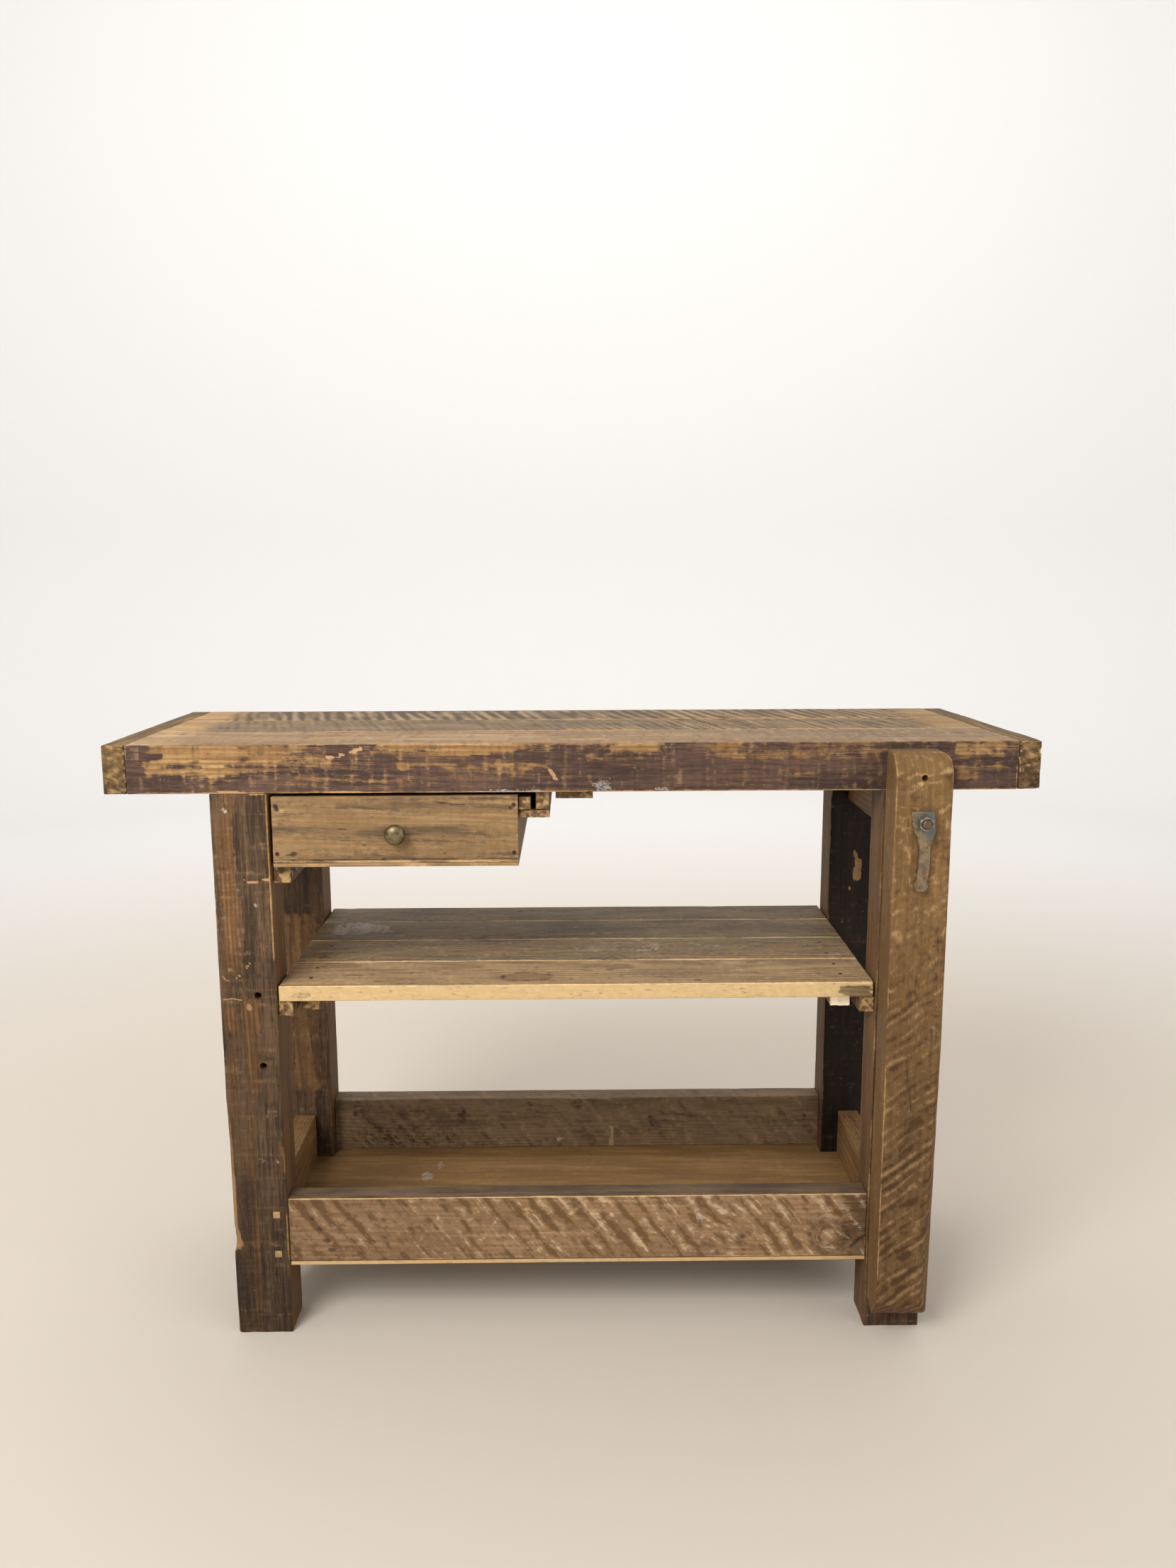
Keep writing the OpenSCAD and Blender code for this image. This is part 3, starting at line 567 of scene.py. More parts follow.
class WoodNodes(Nodes):
    """The noises that every layer of a wood shares, and the layers."""

    def __init__(self, name):
        super().__init__(name)
        self.grain = self.attribute("grain")
        self.fine = self.wide_noise(self.grain, (0.05, 1.1, 1.1), 3.0, 0.6)
        self.streak = self.wide_noise(self.grain, (0.008, 0.22, 0.22), 4.0, 0.6)
        self.cloud = self.wide_noise(self.grain, (0.007, 0.03, 0.03), 3.0, 0.55)
        self.lump = self.wide_noise(self.grain, (0.11, 0.11, 0.11), 4.0, 0.65)
        self.scatter = self.streak * 0.42 + self.fine * 0.33 + self.lump * 0.25 - 0.5

    def late_wood(self, ring):
        """The dark bands of the growth rings, at distances from the pith that wander a little."""
        _, up, side = self.split(self.grain)
        wander = self.noise(self.grain, (0.004, 0.03, 0.03), 2.0) * 7.0
        pith = self.math("SQRT", up * up + side * side) + wander
        spoke = self.math("FRACT", pith / ring)
        return self.smooth(spoke, 0.2, 0.93) * self.smooth(spoke, 1.0, 0.94)

    def bare(self, light, dark, late, figure, streaks, grey):
        """Early and late wood, streaked, and greyed in clouds."""
        body = (late * figure + self.streak * streaks + self.fine * 0.35 + self.cloud * 0.35
                + (0.35 - 0.5 * figure - 0.5 * streaks))
        colour = self.mix(self.smooth(body, 0.0, 1.0), light, dark)
        weathered = self.mix(grey, dark, "#6f675d")
        return self.mix(self.smooth(self.cloud, 0.45, 0.95) * (0.25 + 0.6 * grey), colour, weathered)

    def paint(self, coat, coat_light):
        tint = self.cloud * 0.4 + self.streak * 0.35 + self.fine * 0.25
        return self.mix(self.smooth(tint, 0.25, 0.8), coat, coat_light)

    def saw_marks(self, colour, mark, marks, marks_light):
        """The high parts of saw marks are rubbed pale and their low parts hold dirt."""
        high = (self.lump - 0.5) * 0.45 + (self.fine - 0.5) * 0.25 + mark
        marked = self.smooth(self.math("ABSOLUTE", mark), 0.02, 0.12)
        colour = self.mix(marked * self.smooth(high, 0.05, 0.6, 0.75), colour, marks_light)
        return self.mix(marked * self.smooth(high, -0.05, -0.6, 0.8), colour, marks)

    def knots(self, colour, knot, dark):
        """A thin dark rim round a browner heart."""
        heart = self.mix(self.wide_noise(self.grain, (0.4, 0.4, 0.4), 2.0), dark, "#6a4427")
        colour = self.mix(self.smooth(knot, 1.1, 0.8, 0.55), colour, heart)
        rim = self.smooth(knot, 0.75, 0.98) * self.smooth(knot, 1.3, 1.02)
        return self.mix(rim * self.smooth(self.lump, 0.2, 0.8, 0.75), colour, "#33241a")

    def smears(self, colour, smear):
        """Old smears of filler, which have crumbled."""
        crumb = self.wide_noise(self.grain, (0.3, 0.45, 0.45), 3.0, 0.6)
        white = smear + self.lump * 0.7 + crumb * 0.9 - 0.8
        return self.mix(self.smooth(white, 0.45, 0.95, 0.7), colour, "#a8a198")

    def shaded(self, colour):
        """The colour, a little uneven and darker where the shade attribute says so."""
        uneven = (self.fine - 0.5) * 0.22 + (self.lump - 0.5) * 0.16 + 1.0
        value = uneven * (1.0 - self.attribute("shade", "Fac"))
        return self.make("HueSaturation", {"Color": colour, "Value": value})


def wood(name, light, dark, coat="#4a3a30", coat_light="#6b5546", raw="#c69f6e", marks="#5a4432",
         marks_light="#a58a6e", ring=4.2, figure=0.45, grey=0.0, streaks=0.6, dirt="#33261c"):
    """Wood with growth rings in the round, streaks, checks, and an old coat that has worn.

    light and dark are early and late wood, coat and coat_light the paint or patina on top, raw
    the wood where it is freshly worn, marks and marks_light the low and the high parts of saw
    marks. ring is the rings' width in millimetres, figure and streaks how strongly the rings and
    the streaks show, and grey how weathered the bare wood is.
    """
    n = WoodNodes(name)
    coat_share, wear, mark = n.split(n.attribute("tone"))
    knot, smear, grime = n.split(n.attribute("spot"))
    late = n.late_wood(ring)
    cover = n.smooth(coat_share - n.scatter * 1.3, 0.2, 0.8)
    colour = n.mix(cover, n.bare(light, dark, late, figure, streaks, grey), n.paint(coat, coat_light))
    colour = n.saw_marks(colour, mark, marks, marks_light)
    colour = n.mix(n.smooth(n.scatter * 0.7 + wear, 0.4, 0.75, 0.92), colour, raw)
    colour = n.knots(colour, knot, dark)
    check = n.smooth(n.noise(n.grain, (0.09, 0.5, 0.5), 2.0, 0.5), 0.63, 0.72, 0.5)
    colour = n.mix(check, colour, n.mix(0.5, dark, "#2a2019"))
    colour = n.mix(n.smooth((n.lump - 0.5) * 0.5 + grime, 0.3, 0.8, 0.8), colour, dirt)
    colour = n.smears(colour, smear)
    height = n.fine * 0.35 + n.streak * 0.45 - late * 0.2 - check * 0.8
    return n.finish(base_color=n.shaded(colour), roughness=cover * -0.1 + n.fine * 0.15 + 0.62,
                    specular_ior_level=0.2, normal=n.bump(height, 0.7, 0.5))


def iron(name, base, dark, tint, shine=0.75, rust="#5b3820", blotch=1.0):
    """Forged or rolled metal: mottled, rusted in places and rubbed bright on the high parts.

    Where a mesh has the tone attribute, its coat is grey-blue patina, its wear is rubbed bright
    and its mark is brown rust.
    """
    n = Nodes(name)
    patina, rubbed, rusty = n.split(n.attribute("tone"))
    here = n.millimetres()
    lump = n.wide_noise(here, (0.1, 0.1, 0.1), 4.0, 0.6)
    fine = n.wide_noise(here, (1.2, 1.2, 1.2), 3.0, 0.6)
    spot = n.wide_noise(here, (0.05, 0.05, 0.05), 2.0, 0.5)
    colour = n.mix(n.smooth(lump, 0.0, 1.0), dark, base)
    colour = n.mix(n.smooth(spot, 0.45, 0.8, 0.7 * blotch), colour, tint)
    worn = fine * 0.4 + lump * 0.6
    for amount, low, high, top, shown in ((patina, 0.25, 1.0, 0.85, "#5f6a68"),
                                          (rusty, 0.3, 0.9, 0.9, "#7d5531"),
                                          (rubbed, 0.35, 0.8, 0.85, "#c9b48d")):
        colour = n.mix(n.smooth(amount + (worn - 0.5) * 0.9, low, high, top), colour, shown)
    red = n.smooth(worn, 0.55, 0.8, 0.8 * blotch)
    return n.finish(base_color=n.mix(red, colour, rust), metallic=(1.0 - red) * shine,
                    roughness=fine * 0.25 + red * 0.2 + 0.3,
                    normal=n.bump(lump * 0.8 + fine * 0.3, 0.45, 0.4))


TOP_WOOD = wood("old_paint_on_top", "#c09a67", "#825f3a", coat="#40302a", coat_light="#674e40",
                raw="#bd966a", marks="#43342a", marks_light="#9c7b58", ring=5.0, figure=0.3)
TOP_FACE = wood("worn_top", "#bca17c", "#8f704f", coat="#615040", coat_light="#8f795c",
                raw="#bd9a6c", marks="#5b4836", marks_light="#b19a78", ring=5.0, figure=0.3)
TOP_SAWN = wood("sawn_top", "#bb9b6e", "#8b6b46", coat="#65523c", coat_light="#8e7553",
                raw="#c4a57b", marks="#46341f", marks_light="#a88e68", ring=5.0, grey=0.15)
CAP_WOOD = wood("end_cap", "#9a7b51", "#5f482b", coat="#4b3822", coat_light="#735a3a",
                raw="#b08f60", marks="#4b3720", marks_light="#a4855a", ring=2.6, streaks=0.3)
LEG_WOOD = wood("dark_leg", "#80603c", "#563c24", coat="#34271c", coat_light="#644d37",
                raw="#a17e50", marks="#2d2118", marks_light="#806548", ring=4.5)
# Painted shade: the back right leg gets a darker copy of the leg wood, partly for its own dark wood and
# partly for the shade it stands in under the top.
DARK_AND_SHADED_BACK_LEG = wood("dark_back_leg", "#2d2117", "#1b130b", coat="#110b07", coat_light="#261b12",
                raw="#96734a", marks="#120c08", marks_light="#463322", ring=4.5)
RAIL_WOOD = wood("sawn_rail", "#a68869", "#7f6142", coat="#4d3d2d", coat_light="#786047",
                 raw="#c9a878", marks="#5f4529", marks_light="#c0a686", ring=5, figure=0.2,
                 grey=0.25)
BACK_WOOD = wood("back_rail", "#917655", "#675039", coat="#5b4a37", coat_light="#8a7053",
                 raw="#98805f", marks="#3a2d21", marks_light="#8a7154", ring=4, grey=0.3)
SIDE_WOOD = wood("side_rail", "#9a774b", "#735433", coat="#463524", coat_light="#69513a",
                 raw="#a17e50", marks="#3d2b1a", marks_light="#8c6d48", ring=4.5)
PEG_WOOD = wood("peg", "#bfa072", "#94734a", raw="#cbb084", ring=2.4)
TRAY_WOOD = wood("tray_board", "#99774a", "#765936", raw="#c6a577", ring=9, figure=0.2,
                 dirt="#59412a")
SHELF_WOOD = wood("shelf_board", "#ac9069", "#7a6245", coat="#564635", coat_light="#857252",
                  raw="#cfb07f", marks="#43352a", marks_light="#a08a6a", ring=4.5, figure=0.35,
                  grey=0.3)
SAWN_WOOD = wood("sawn_batten", "#80623e", "#5c4429", raw="#b39263", ring=3.6,
                 marks="#46331e", marks_light="#967750")
# Painted light: the raw colour is pushed almost to white, so that the right batten's end, which lies in
# the shelf's shade, still shows as pale as fresh wood.
RAW_WOOD_WITH_PAINTED_LIGHT = wood("raw_batten", "#a88962", "#836643", raw="#fff0d2", ring=3.6, marks="#6d5334",
                marks_light="#c6aa82")
PINE = wood("drawer_pine", "#b5946a", "#836643", coat="#5c4a35", coat_light="#84694a",
            raw="#bb986a", ring=6.5, figure=0.16, streaks=0.7)
JAW_WOOD = wood("sawn_jaw", "#87683f", "#62482b", coat="#4b3825", coat_light="#6d5537",
                raw="#a98a60", marks="#45301c", marks_light="#9a7b56", ring=7, figure=0.12,
                streaks=0.4)
IRON = iron("forged_iron", "#a38c6a", "#675743", "#636a68", blotch=0.6)
STEEL = iron("dull_steel", "#8b8881", "#57534f", "#6c6a68", shine=0.9, blotch=0.5)
NUT_STEEL = iron("rubbed_steel", "#a29f96", "#6b6760", "#7f807e", shine=0.9, blotch=0.3)
STUD = iron("rusty_steel", "#7d604c", "#4b382c", "#5f5148", shine=0.7, blotch=0.8)
NAIL = iron("dark_nail", "#4c443d", "#2b2622", "#3a332d", shine=0.5)
BRASS = iron("old_brass", "#8d7b5c", "#5b4c37", "#6c5f49", shine=0.85, rust="#4a3c29", blotch=0.4)

# ---- The bench's own numbers, from the frame ----

TOP_LO, TOP_HI = box("top_plank_front")[0][2], box("top_plank_front")[1][2]
CAP_L, CAP_R = box("top_end_cap_left"), box("top_end_cap_right")
CAP_W = CAP_L[1][0] - CAP_L[0][0]
TOP_DEPTH = CAP_L[1][1]
SKEW = CAP_R[1][0] - CAP_W - CAP_R[0][0]
PLANK_X = (CAP_L[1][0], CAP_R[1][0] - CAP_W)
TONGUE_Z = ((TOP_LO + TOP_HI) / 2 - 10, (TOP_LO + TOP_HI) / 2 + 10)
TONGUE_MARGIN = 14
TONGUE = 12
LEG_TENON = 36
TENON_T = 15
PEGS = islands("rail_pegs")
SIDE_PEGS = islands("side_rail_pegs")


def leg_body(node):
    lo, hi = box(node)
    return lo, np.array([hi[0], hi[1], TOP_LO])


def leg_tenon(node):
    lo, hi = leg_body(node)
    mid = (lo + hi) / 2
    half = LEG_TENON / 2
    return ((mid[0] - half, mid[1] - half, TOP_LO),
            (mid[0] + half, mid[1] + half, box(node)[1][2]))


def skewed(p, share):
    """Shifts the right end's points to the left towards the back."""
    q = p.copy()
    q[:, 0] -= SKEW * p[:, 1] / TOP_DEPTH * share
    return q


def plank(node, material, pith, carve):
    lo, hi = box(node)
    body = ((PLANK_X[0], lo[1], TOP_LO), (PLANK_X[1], hi[1], TOP_HI))
    y0, y1 = max(lo[1], TONGUE_MARGIN), min(hi[1], TOP_DEPTH - TONGUE_MARGIN)
    tongues = [((PLANK_X[0] - TONGUE, y0, TONGUE_Z[0]), (PLANK_X[0], y1, TONGUE_Z[1])),
               ((PLANK_X[1], y0, TONGUE_Z[0]), (PLANK_X[1] + TONGUE, y1, TONGUE_Z[1]))]
    legs = {"top_plank_front": ("leg_front_left", "leg_front_right"),
            "top_plank_rear": ("leg_back_left", "leg_back_right")}.get(node, ())

    def shape(p, _):
        return skewed(p, smooth(p[:, 0], PLANK_X[1] - 250, PLANK_X[1] - 60))

    return board(node, material, "X", body, tongues, [leg_tenon(n) for n in legs], radius=1.1,
                 step=3.6, pith=pith, carve=carve, shape=shape)


PAINT_WEAR = (
    # x0, x1, z0, z1, depth, softness of worn patches on the front of the top
    (-585, -490, 850, 883, 0.62, 14), (-560, -470, 872, 886, 0.7, 9), (-500, -420, 848, 872, 0.35, 14),
    (-480, -350, 868, 886, 0.35, 14), (-430, -280, 838, 862, 0.2, 14),
    (-272, -85, 877, 888, 0.65, 6), (-85, -30, 880, 888, 0.45, 5), (-200, -150, 868, 876, 0.35, 7),
    (-240, -40, 857, 859, 0.55, 3), (-165, -60, 849, 854, 0.4, 4), (-285, -262, 831, 835, 0.45, 3),
    (-242, -218, 851, 855, 0.45, 3), (0, 60, 882, 888, 0.35, 5), (60, 116, 880, 888, 0.7, 6),
    (18, 32, 863, 869, 0.45, 4), (74, 130, 852, 855, 0.3, 3), (196, 224, 868, 886, 0.45, 8),
    (224, 425, 868, 886, 0.28, 8), (300, 420, 843, 847, 0.35, 3), (528, 572, 872, 882, 0.6, 5),
    (574, 600, 868, 884, 0.5, 7), (536, 562, 838, 848, 0.4, 6), (528, 600, 853, 860, 0.3, 6),
)
# where thin upright lines are scraped through the paint
PAINT_BARS = (-563, -538, -502, -470, -440, -412, -385, -338, -300, -282, -262, -240, -142, -123,
              -103, -84, -60, -36, 22, 105, 186, 235, 265, 310, 352, 400, 545, 560, 590)
GOUGE = [(-342, 869), (-332, 871), (-325, 872), (-308, 876), (-302, 878), (-292, 884)]


def front_paint(f):
    """How much paint is left on the front of the top."""
    x, z = f.x, f.z
    coat = 0.93 + 0.16 * f.noise((60, 30, 10), 20) + 0.14 * f.noise((5, 30, 14), 28)
    for x0, x1, z0, z1, depth, soft in PAINT_WEAR:
        coat -= depth * patch(f.wx, f.wz, x0, x1, z0, z1, soft)
    for i, bar in enumerate(PAINT_BARS):
        at = x + 1.5 * f.noise((9, 9, 5), 24)
        run = np.clip(0.45 + noise(np.stack([0 * x + 40 * i, f.y, z], 1), (9, 9, 13), 21), 0, 1.2)
        coat -= (0.3 + 0.12 * (i % 3)) * smooth(abs(at - bar), 3 + i % 3, 0.5) * run
    coat += 0.8 * patch(f.wx, z, -617, -598, 819, 889, 3)
    coat += patches(f.wx, f.wz, (0.7, -598, -574, 871, 876, 3), (0.25, -560, -520, 857, 863, 3))
    return coat - 0.7 * smooth(z, 822.5, 820.5) - 0.4 * smooth(z, 885.5, 888)


def top_scars(f):
    """The gouge and chips on the front of the top and the splinter pulled from above it."""
    x, z = f.x, f.z
    gouge = stroke(x, z + 1.5 * f.noise((7, 7, 7), 26), GOUGE, 2.4)
    for spot in ((-299, 880, 8, 3.4), (-338, 869, 7, 2.8)):
        gouge = np.maximum(gouge, blob(x, z, *spot))
    chip = np.maximum(patch(f.wx, z, -486, -464, 818, 822.5, 2),
                      stroke(x, z + f.noise((5, 5, 5), 29), [(-33, 851), (-25, 838)], 3))
    splinter = stroke(x, f.wy, [(-18, 45), (12, 42), (46, 47)], 4) * f.top
    f.cut += f.front * (1.2 * gouge + 1.4 * chip) + splinter
    f.rub(1.3 * np.maximum(f.front * np.maximum(gouge, chip), splinter))
    f.rub(f.front * smooth(z, 822, 820) * (0.8 + 0.4 * f.noise((40, 9, 9), 18)))


def top_front_carve(f):
    x, y, z = f.x, f.y, f.z
    top = 0.25 + 0.3 * f.noise((240, 30, 40), 22) + 0.25 * smooth(x, 150, 420)
    top -= 0.35 * patch(x, y, -210, -50, 55, 120, 30) + 0.3 * smooth(x, -520, -580)
    f.coat = front_paint(f) * f.front + np.clip(top, 0, 1) * f.top + 0.9 * (f.under + f.back)
    f.shade = f.front * (0.1 * smooth(z, 868, 860) * smooth(x, 150, 250)
                         + 0.1 * smooth(x, -100, 0) + 0.08 * f.noise((5, 9, 40), 25))
    f.shade -= f.top * 0.2 * smooth(x, -535, -590)
    f.wear = np.where(f.top > 0.5, f.wear * 0.3, f.wear)
    top_scars(f)
    f.smear = f.front * (patches(f.wx, z, (0.75, -115, -46, 818, 822, 3), (0.6, 75, 112, 818, 821, 2),
                                 (0.75, 122, 132, 819, 826, 3), (0.6, 155, 170, 818, 822, 3))
                         + 0.75 * patch(f.wx, f.wz, 28, 52, 824, 834, 6)
                         + 0.6 * blob(x, z, 148, 885, 5, 4))
    f.smear += f.top * spots(x, y, (0.9, -290, 60, 16, 7), (0.9, 60, 100, 9, 4))
    f.grime = f.front * spots(x, z, (0.7, -520, 865, 8, 5), (0.7, -455, 868, 14, 8),
                              (0.9, -373, 850, 4, 4), (0.5, -20, 866, 14, 10))
    f.mark = f.top * 0.35 * f.noise((6, 40, 40), 23) + f.front * 0.3 * f.noise((4, 30, 40), 27)


def sawn_top(pitch, strength):
    """Saw marks a pitch apart across a plank, stronger on its right half, and a worn skin."""
    def carve(f):
        x, y = f.x, f.y
        across = x + 0.25 * y + 3 * f.noise((60, 60, 60), 32)
        beat = 0.5 + 0.5 * f.noise((150, 60, 60), 33)
        saw = noise(flat(across, y), (pitch / 3, 70, 9), f.seed + 30) * 0.9
        saw += 0.8 * np.sin(across * 2 * math.pi / pitch) * beat - 0.2
        ends = smooth(abs(x) + 14 * f.noise((40, 9, 9), 35), 600, 510)
        right = smooth(x, 0, 220)
        f.mark = f.top * ends * np.clip(saw, -1, 1) * (strength + (0.75 - strength) * right)
        f.cut += f.top * 0.35 * dug(saw) * ends
        coat = (0.8 - 0.2 * right + 0.3 * f.noise((260, 30, 30), 31)) * ends + 0.12
        coat += patches(f.wx, f.wy, (-0.7, -10, 90, 143, 172, 8), (0.4, 120, 180, 135, 200, 10))
        coat += patches(x, f.wy, (-0.5, 280, 460, 147, 153, 5), (-0.4, -600, 600, 274, 292, 8))
        f.coat = f.top * np.clip(coat, 0, 1) + 0.9 * (f.back + f.under)
        f.smear = f.top * blob(x, y, -20, 225, 12, 6)
        f.shade = -0.3 * f.top * smooth(x, -520, -575)
        f.wear = np.where(f.top > 0.5, f.wear * 0.4, f.wear)
        f.rub(f.top * smooth(y - f.lo[1], 5, 1.5) * (0.75 + 0.5 * f.noise((90, 30, 30), 34)))
    return carve


front_plank = plank("top_plank_front", TOP_WOOD, (20, -90), top_front_carve)
second_material(front_plank, TOP_FACE, "Z", 1)
plank("top_plank_middle", TOP_SAWN, (60, 40), sawn_top(14, 0.4))
plank("top_plank_rear", TOP_SAWN, (-40, -70), sawn_top(21, 1.0))


def cap_carve(f):
    """End grain in front and behind, darker on the right, where a crack runs down it."""
    end = f.front + f.back
    right = smooth(f.x, 0, 10)
    f.cut += end * 0.7 * (0.5 + 0.5 * f.noise((3.5, 9, 3.5), 40)) * (0.4 + 0.6 * right)
    f.coat = end * (0.3 + 0.6 * f.noise((9, 9, 9), 41)) + f.top * (0.25 + 0.5 * f.noise((20, 160, 20), 42))
    f.coat += end * right * 0.4 * smooth(f.wz, 862, 855) + 0.8 * (f.right + f.left + f.under)
    f.mark = end * (0.7 * f.noise((5, 5, 3.2), 45) + 0.5 * f.noise((9, 9, 7), 47))
    f.shade = end * (0.22 * smooth(f.wz, 865, 838) - 0.14 + 0.2 * f.noise((6, 6, 6), 46) + 0.14 * right)
    f.grime = end * 0.4 * smooth(f.wz, 850, 825) * (1 + f.noise((7, 7, 7), 43))
    crack = stroke(f.x, f.z + f.noise((6, 6, 6), 44), [(617, 853), (632, 856), (649, 861)], 1.8)
    crack *= f.front * right
    f.cut += 1.6 * crack
    f.grime += 0.9 * crack
    f.wear = np.where(f.front * right > 0.5, f.wear * 1.3, f.wear)
    # the planks' paint runs a little way over the joint, with a jagged edge
    gap = np.where(right > 0.5, f.x - PLANK_X[1], PLANK_X[0] - f.x)
    over = gap - 1.5 - 2.6 * f.noise((30, 30, 2.6), 48) - 1.2 * f.noise((30, 30, 6), 49)
    paint = f.front * smooth(over, 0.9, -0.9)
    f.grime += 1.1 * paint
    f.wear *= 1 - paint


def end_cap(node, share):
    """A cross piece over the planks' ends; share is how much of the skew it takes."""
    x0 = PLANK_X[1] if share else box(node)[0][0]
    body = ((x0, 0, TOP_LO), (x0 + CAP_W, TOP_DEPTH, TOP_HI))
    groove_x = x0 if share else x0 + CAP_W - TONGUE
    groove = ((groove_x, TONGUE_MARGIN, TONGUE_Z[0]),
              (groove_x + TONGUE, TOP_DEPTH - TONGUE_MARGIN, TONGUE_Z[1]))
    board(node, CAP_WOOD, "Y", body, (), [groove], radius=3.4 if share else 2.2, step=2.4,
          chips=0.5 + share, pith=(5, -25), carve=cap_carve, shape=lambda p, _: skewed(p, share))


end_cap("top_end_cap_left", 0)
end_cap("top_end_cap_right", 1)

# ---- Legs ----


def rail_tenon(rail, across, low, high):
    """The bar of wood that runs through a rail and makes its tenons at both ends."""
    lo, hi = box(rail)
    middle = (lo[across] + hi[across]) / 2
    lo[across], hi[across] = middle - TENON_T / 2, middle + TENON_T / 2
    return lo + (0, 0, low), hi - (0, 0, high)


RAIL_TENONS = {"rail_front": rail_tenon("rail_front", 1, 4, 8),
               "rail_back": rail_tenon("rail_back", 1, 4, 4)}
for rail, shoulders in (("rail", (6, 6)), ("upper_rail", (5, 47))):
    for side in ("_left", "_right"):
        RAIL_TENONS[rail + side] = rail_tenon(rail + side, 0, *shoulders)

SCRATCHES = (([(-463, 696), (-452, 694), (-427, 697)], 2.4),
             ([(-500, 556), (-495, 551), (-482, 552), (-476, 558)], 2.0),
             ([(-468, 566), (-461, 575)], 2.0), ([(-500, 522), (-488, 523), (-476, 521)], 1.6))
NAIL_HOLE = (-474, 733)


def front_left_marks(f):
    """Streaks, scratches, specks, a nail hole and a painted highlight along the right arris on the front
    of the front left leg.
    """
    x, z = f.x, f.z
    bald = smooth(f.noise((11, 30, 55), 57), 0.0, 0.6) * smooth(z, 540, 500) * smooth(z, 230, 300)
    f.coat -= f.front * (0.6 * patch(f.wx * 0.4 + x * 0.6, z, -486, -478, 570, 815, 14) + 0.5 * bald
                         + patches(x, z, (0.45, -470, -456, 380, 520, 7), (0.4, -475, -469, 40, 350, 4)))
    f.shade += f.front * (0.06 * bald - 0.1 * patch(x, z, -487, -474, 600, 830, 9)
                          + patches(f.wx, z, (-0.28, -492, -435, 610, 830, 26),
                                    (0.25, -515, -468, -5, 132, 12)))
    # painted highlight: a pale line down the right arris from about z 570 up, where light catches the edge
    f.rub(f.front * 0.75 * smooth(x, -430, -427) * smooth(f.wz, 540, 600))
    f.rub(f.front * (strokes(x, z, *SCRATCHES) + blob(x, z, -489, 566, 4, 4)))
    f.rub(f.front * blob(x, z, -465, 510, 6, 9))
    f.smear += f.front * spots(x, z, (0.9, -457, 276, 7, 4), (0.9, -436, 275, 5, 4),
                               (0.9, -449, 660, 4, 4), (0.9, -485, 797, 5, 5))
    f.grime += f.front * (0.9 * blob(x, z, *NAIL_HOLE, 5, 5) + 0.6 * patch(x, z, -494, -472, 150, 250, 8)
                          + 0.5 * smooth(z, 140, 60) * (0.5 + f.noise((20, 20, 8), 54)))
    f.cut += f.front * 3.0 * blob(x, z, *NAIL_HOLE, 3, 3)


def back_left_marks(f):
    """Bald places in the middle of the back left leg."""
    f.coat -= f.front * patches(f.wx, f.wz, (0.7, -495, -440, 440, 545, 12),
                                (0.4, -500, -430, 240, 440, 12))
    f.shade -= f.front * 0.12 * smooth(f.z, 560, 520)


def back_right_marks(f):
    """A pale wound and a dark spot on the back right leg."""
    x, z = f.x, f.z
    wound = patch(f.wx * 0.3 + x * 0.7, z, 475, 483, 606, 640, 4)
    wound = np.maximum(wound, stroke(x, z, [(474, 655), (478, 636)], 3.4)) * f.front
    f.cut += 2.2 * wound
    f.rub(1.3 * wound)
    f.rub(f.front * 1.2 * blob(x, z, 467, 590, 3, 5))
    f.grime += f.front * 0.8 * blob(x, z, 438, 655, 8, 8)


LEG_MARKS = {"leg_front_left": front_left_marks, "leg_back_left": back_left_marks,
             "leg_back_right": back_right_marks}


def leg_carve(node):
    """An old dark skin on the outer faces, thinner on the inner one, with the leg's own marks."""
    left = "left" in node

    def carve(f):
        inner, outer = (f.right, f.left) if left else (f.left, f.right)
        f.coat = f.front * (0.85 + 0.3 * f.noise((9, 30, 220), 50)) + outer * 0.75 + f.back * 0.8
        f.coat += inner * (0.0 if "front" in node else 0.2) + 0.25 * f.noise((14, 14, 120), 51)
        f.cut += 0.3 * f.front * (0.5 + 0.5 * f.noise((5, 30, 90), 52))
        f.mark = (f.front + outer) * 0.3 * f.noise((40, 40, 3.5), 55)
        f.shade = 0.22 * smooth(f.z, 720, 120) + 0.05 * f.noise((30, 30, 60), 56)
        f.shade -= inner * (0.16 - 0.3 * smooth(f.z, 650, 830) * (not left))
        if node in LEG_MARKS:
            LEG_MARKS[node](f)
    return carve


def wane(lo, top, foot, width):
    """Bends a leg's left front arris off, where the edge of the log shows."""
    def shape(p, face):
        z = p[:, 2]
        w = width * smooth(z, foot, foot + 8) * smooth(z, top, top - 120)
        w = w * (0.8 + 0.35 * noise(p, (400, 400, 45), 61))
        push = np.clip((w - (p[:, 0] - lo[0]) - (p[:, 1] - lo[1])) / 2, 0, None)
        bare = smooth(push, 0.1, 0.8)
        face.coat *= 1 - bare
        face.rub((0.55 + 0.3 * smooth(z, 260, 245)) * bare)
        return p + push[:, None] * (1, 1, 0)
    return shape


def leg(node, rails, cut=(), **more):
    lo, hi = leg_body(node)
    pegs_in_leg = [(a, b) for a, b in PEGS + SIDE_PEGS if np.all(a < hi) and np.all(b > lo)]
    # the back right leg's darker copy of the wood holds painted shade as well as its own darkness
    material = DARK_AND_SHADED_BACK_LEG if node == "leg_back_right" else LEG_WOOD
    return board(node, material, "Z", (lo, hi), [leg_tenon(node)],
                 [RAIL_TENONS[r] for r in rails] + pegs_in_leg + list(cut), radius=2.0, step=3.6,
                 carve=leg_carve(node), **more)


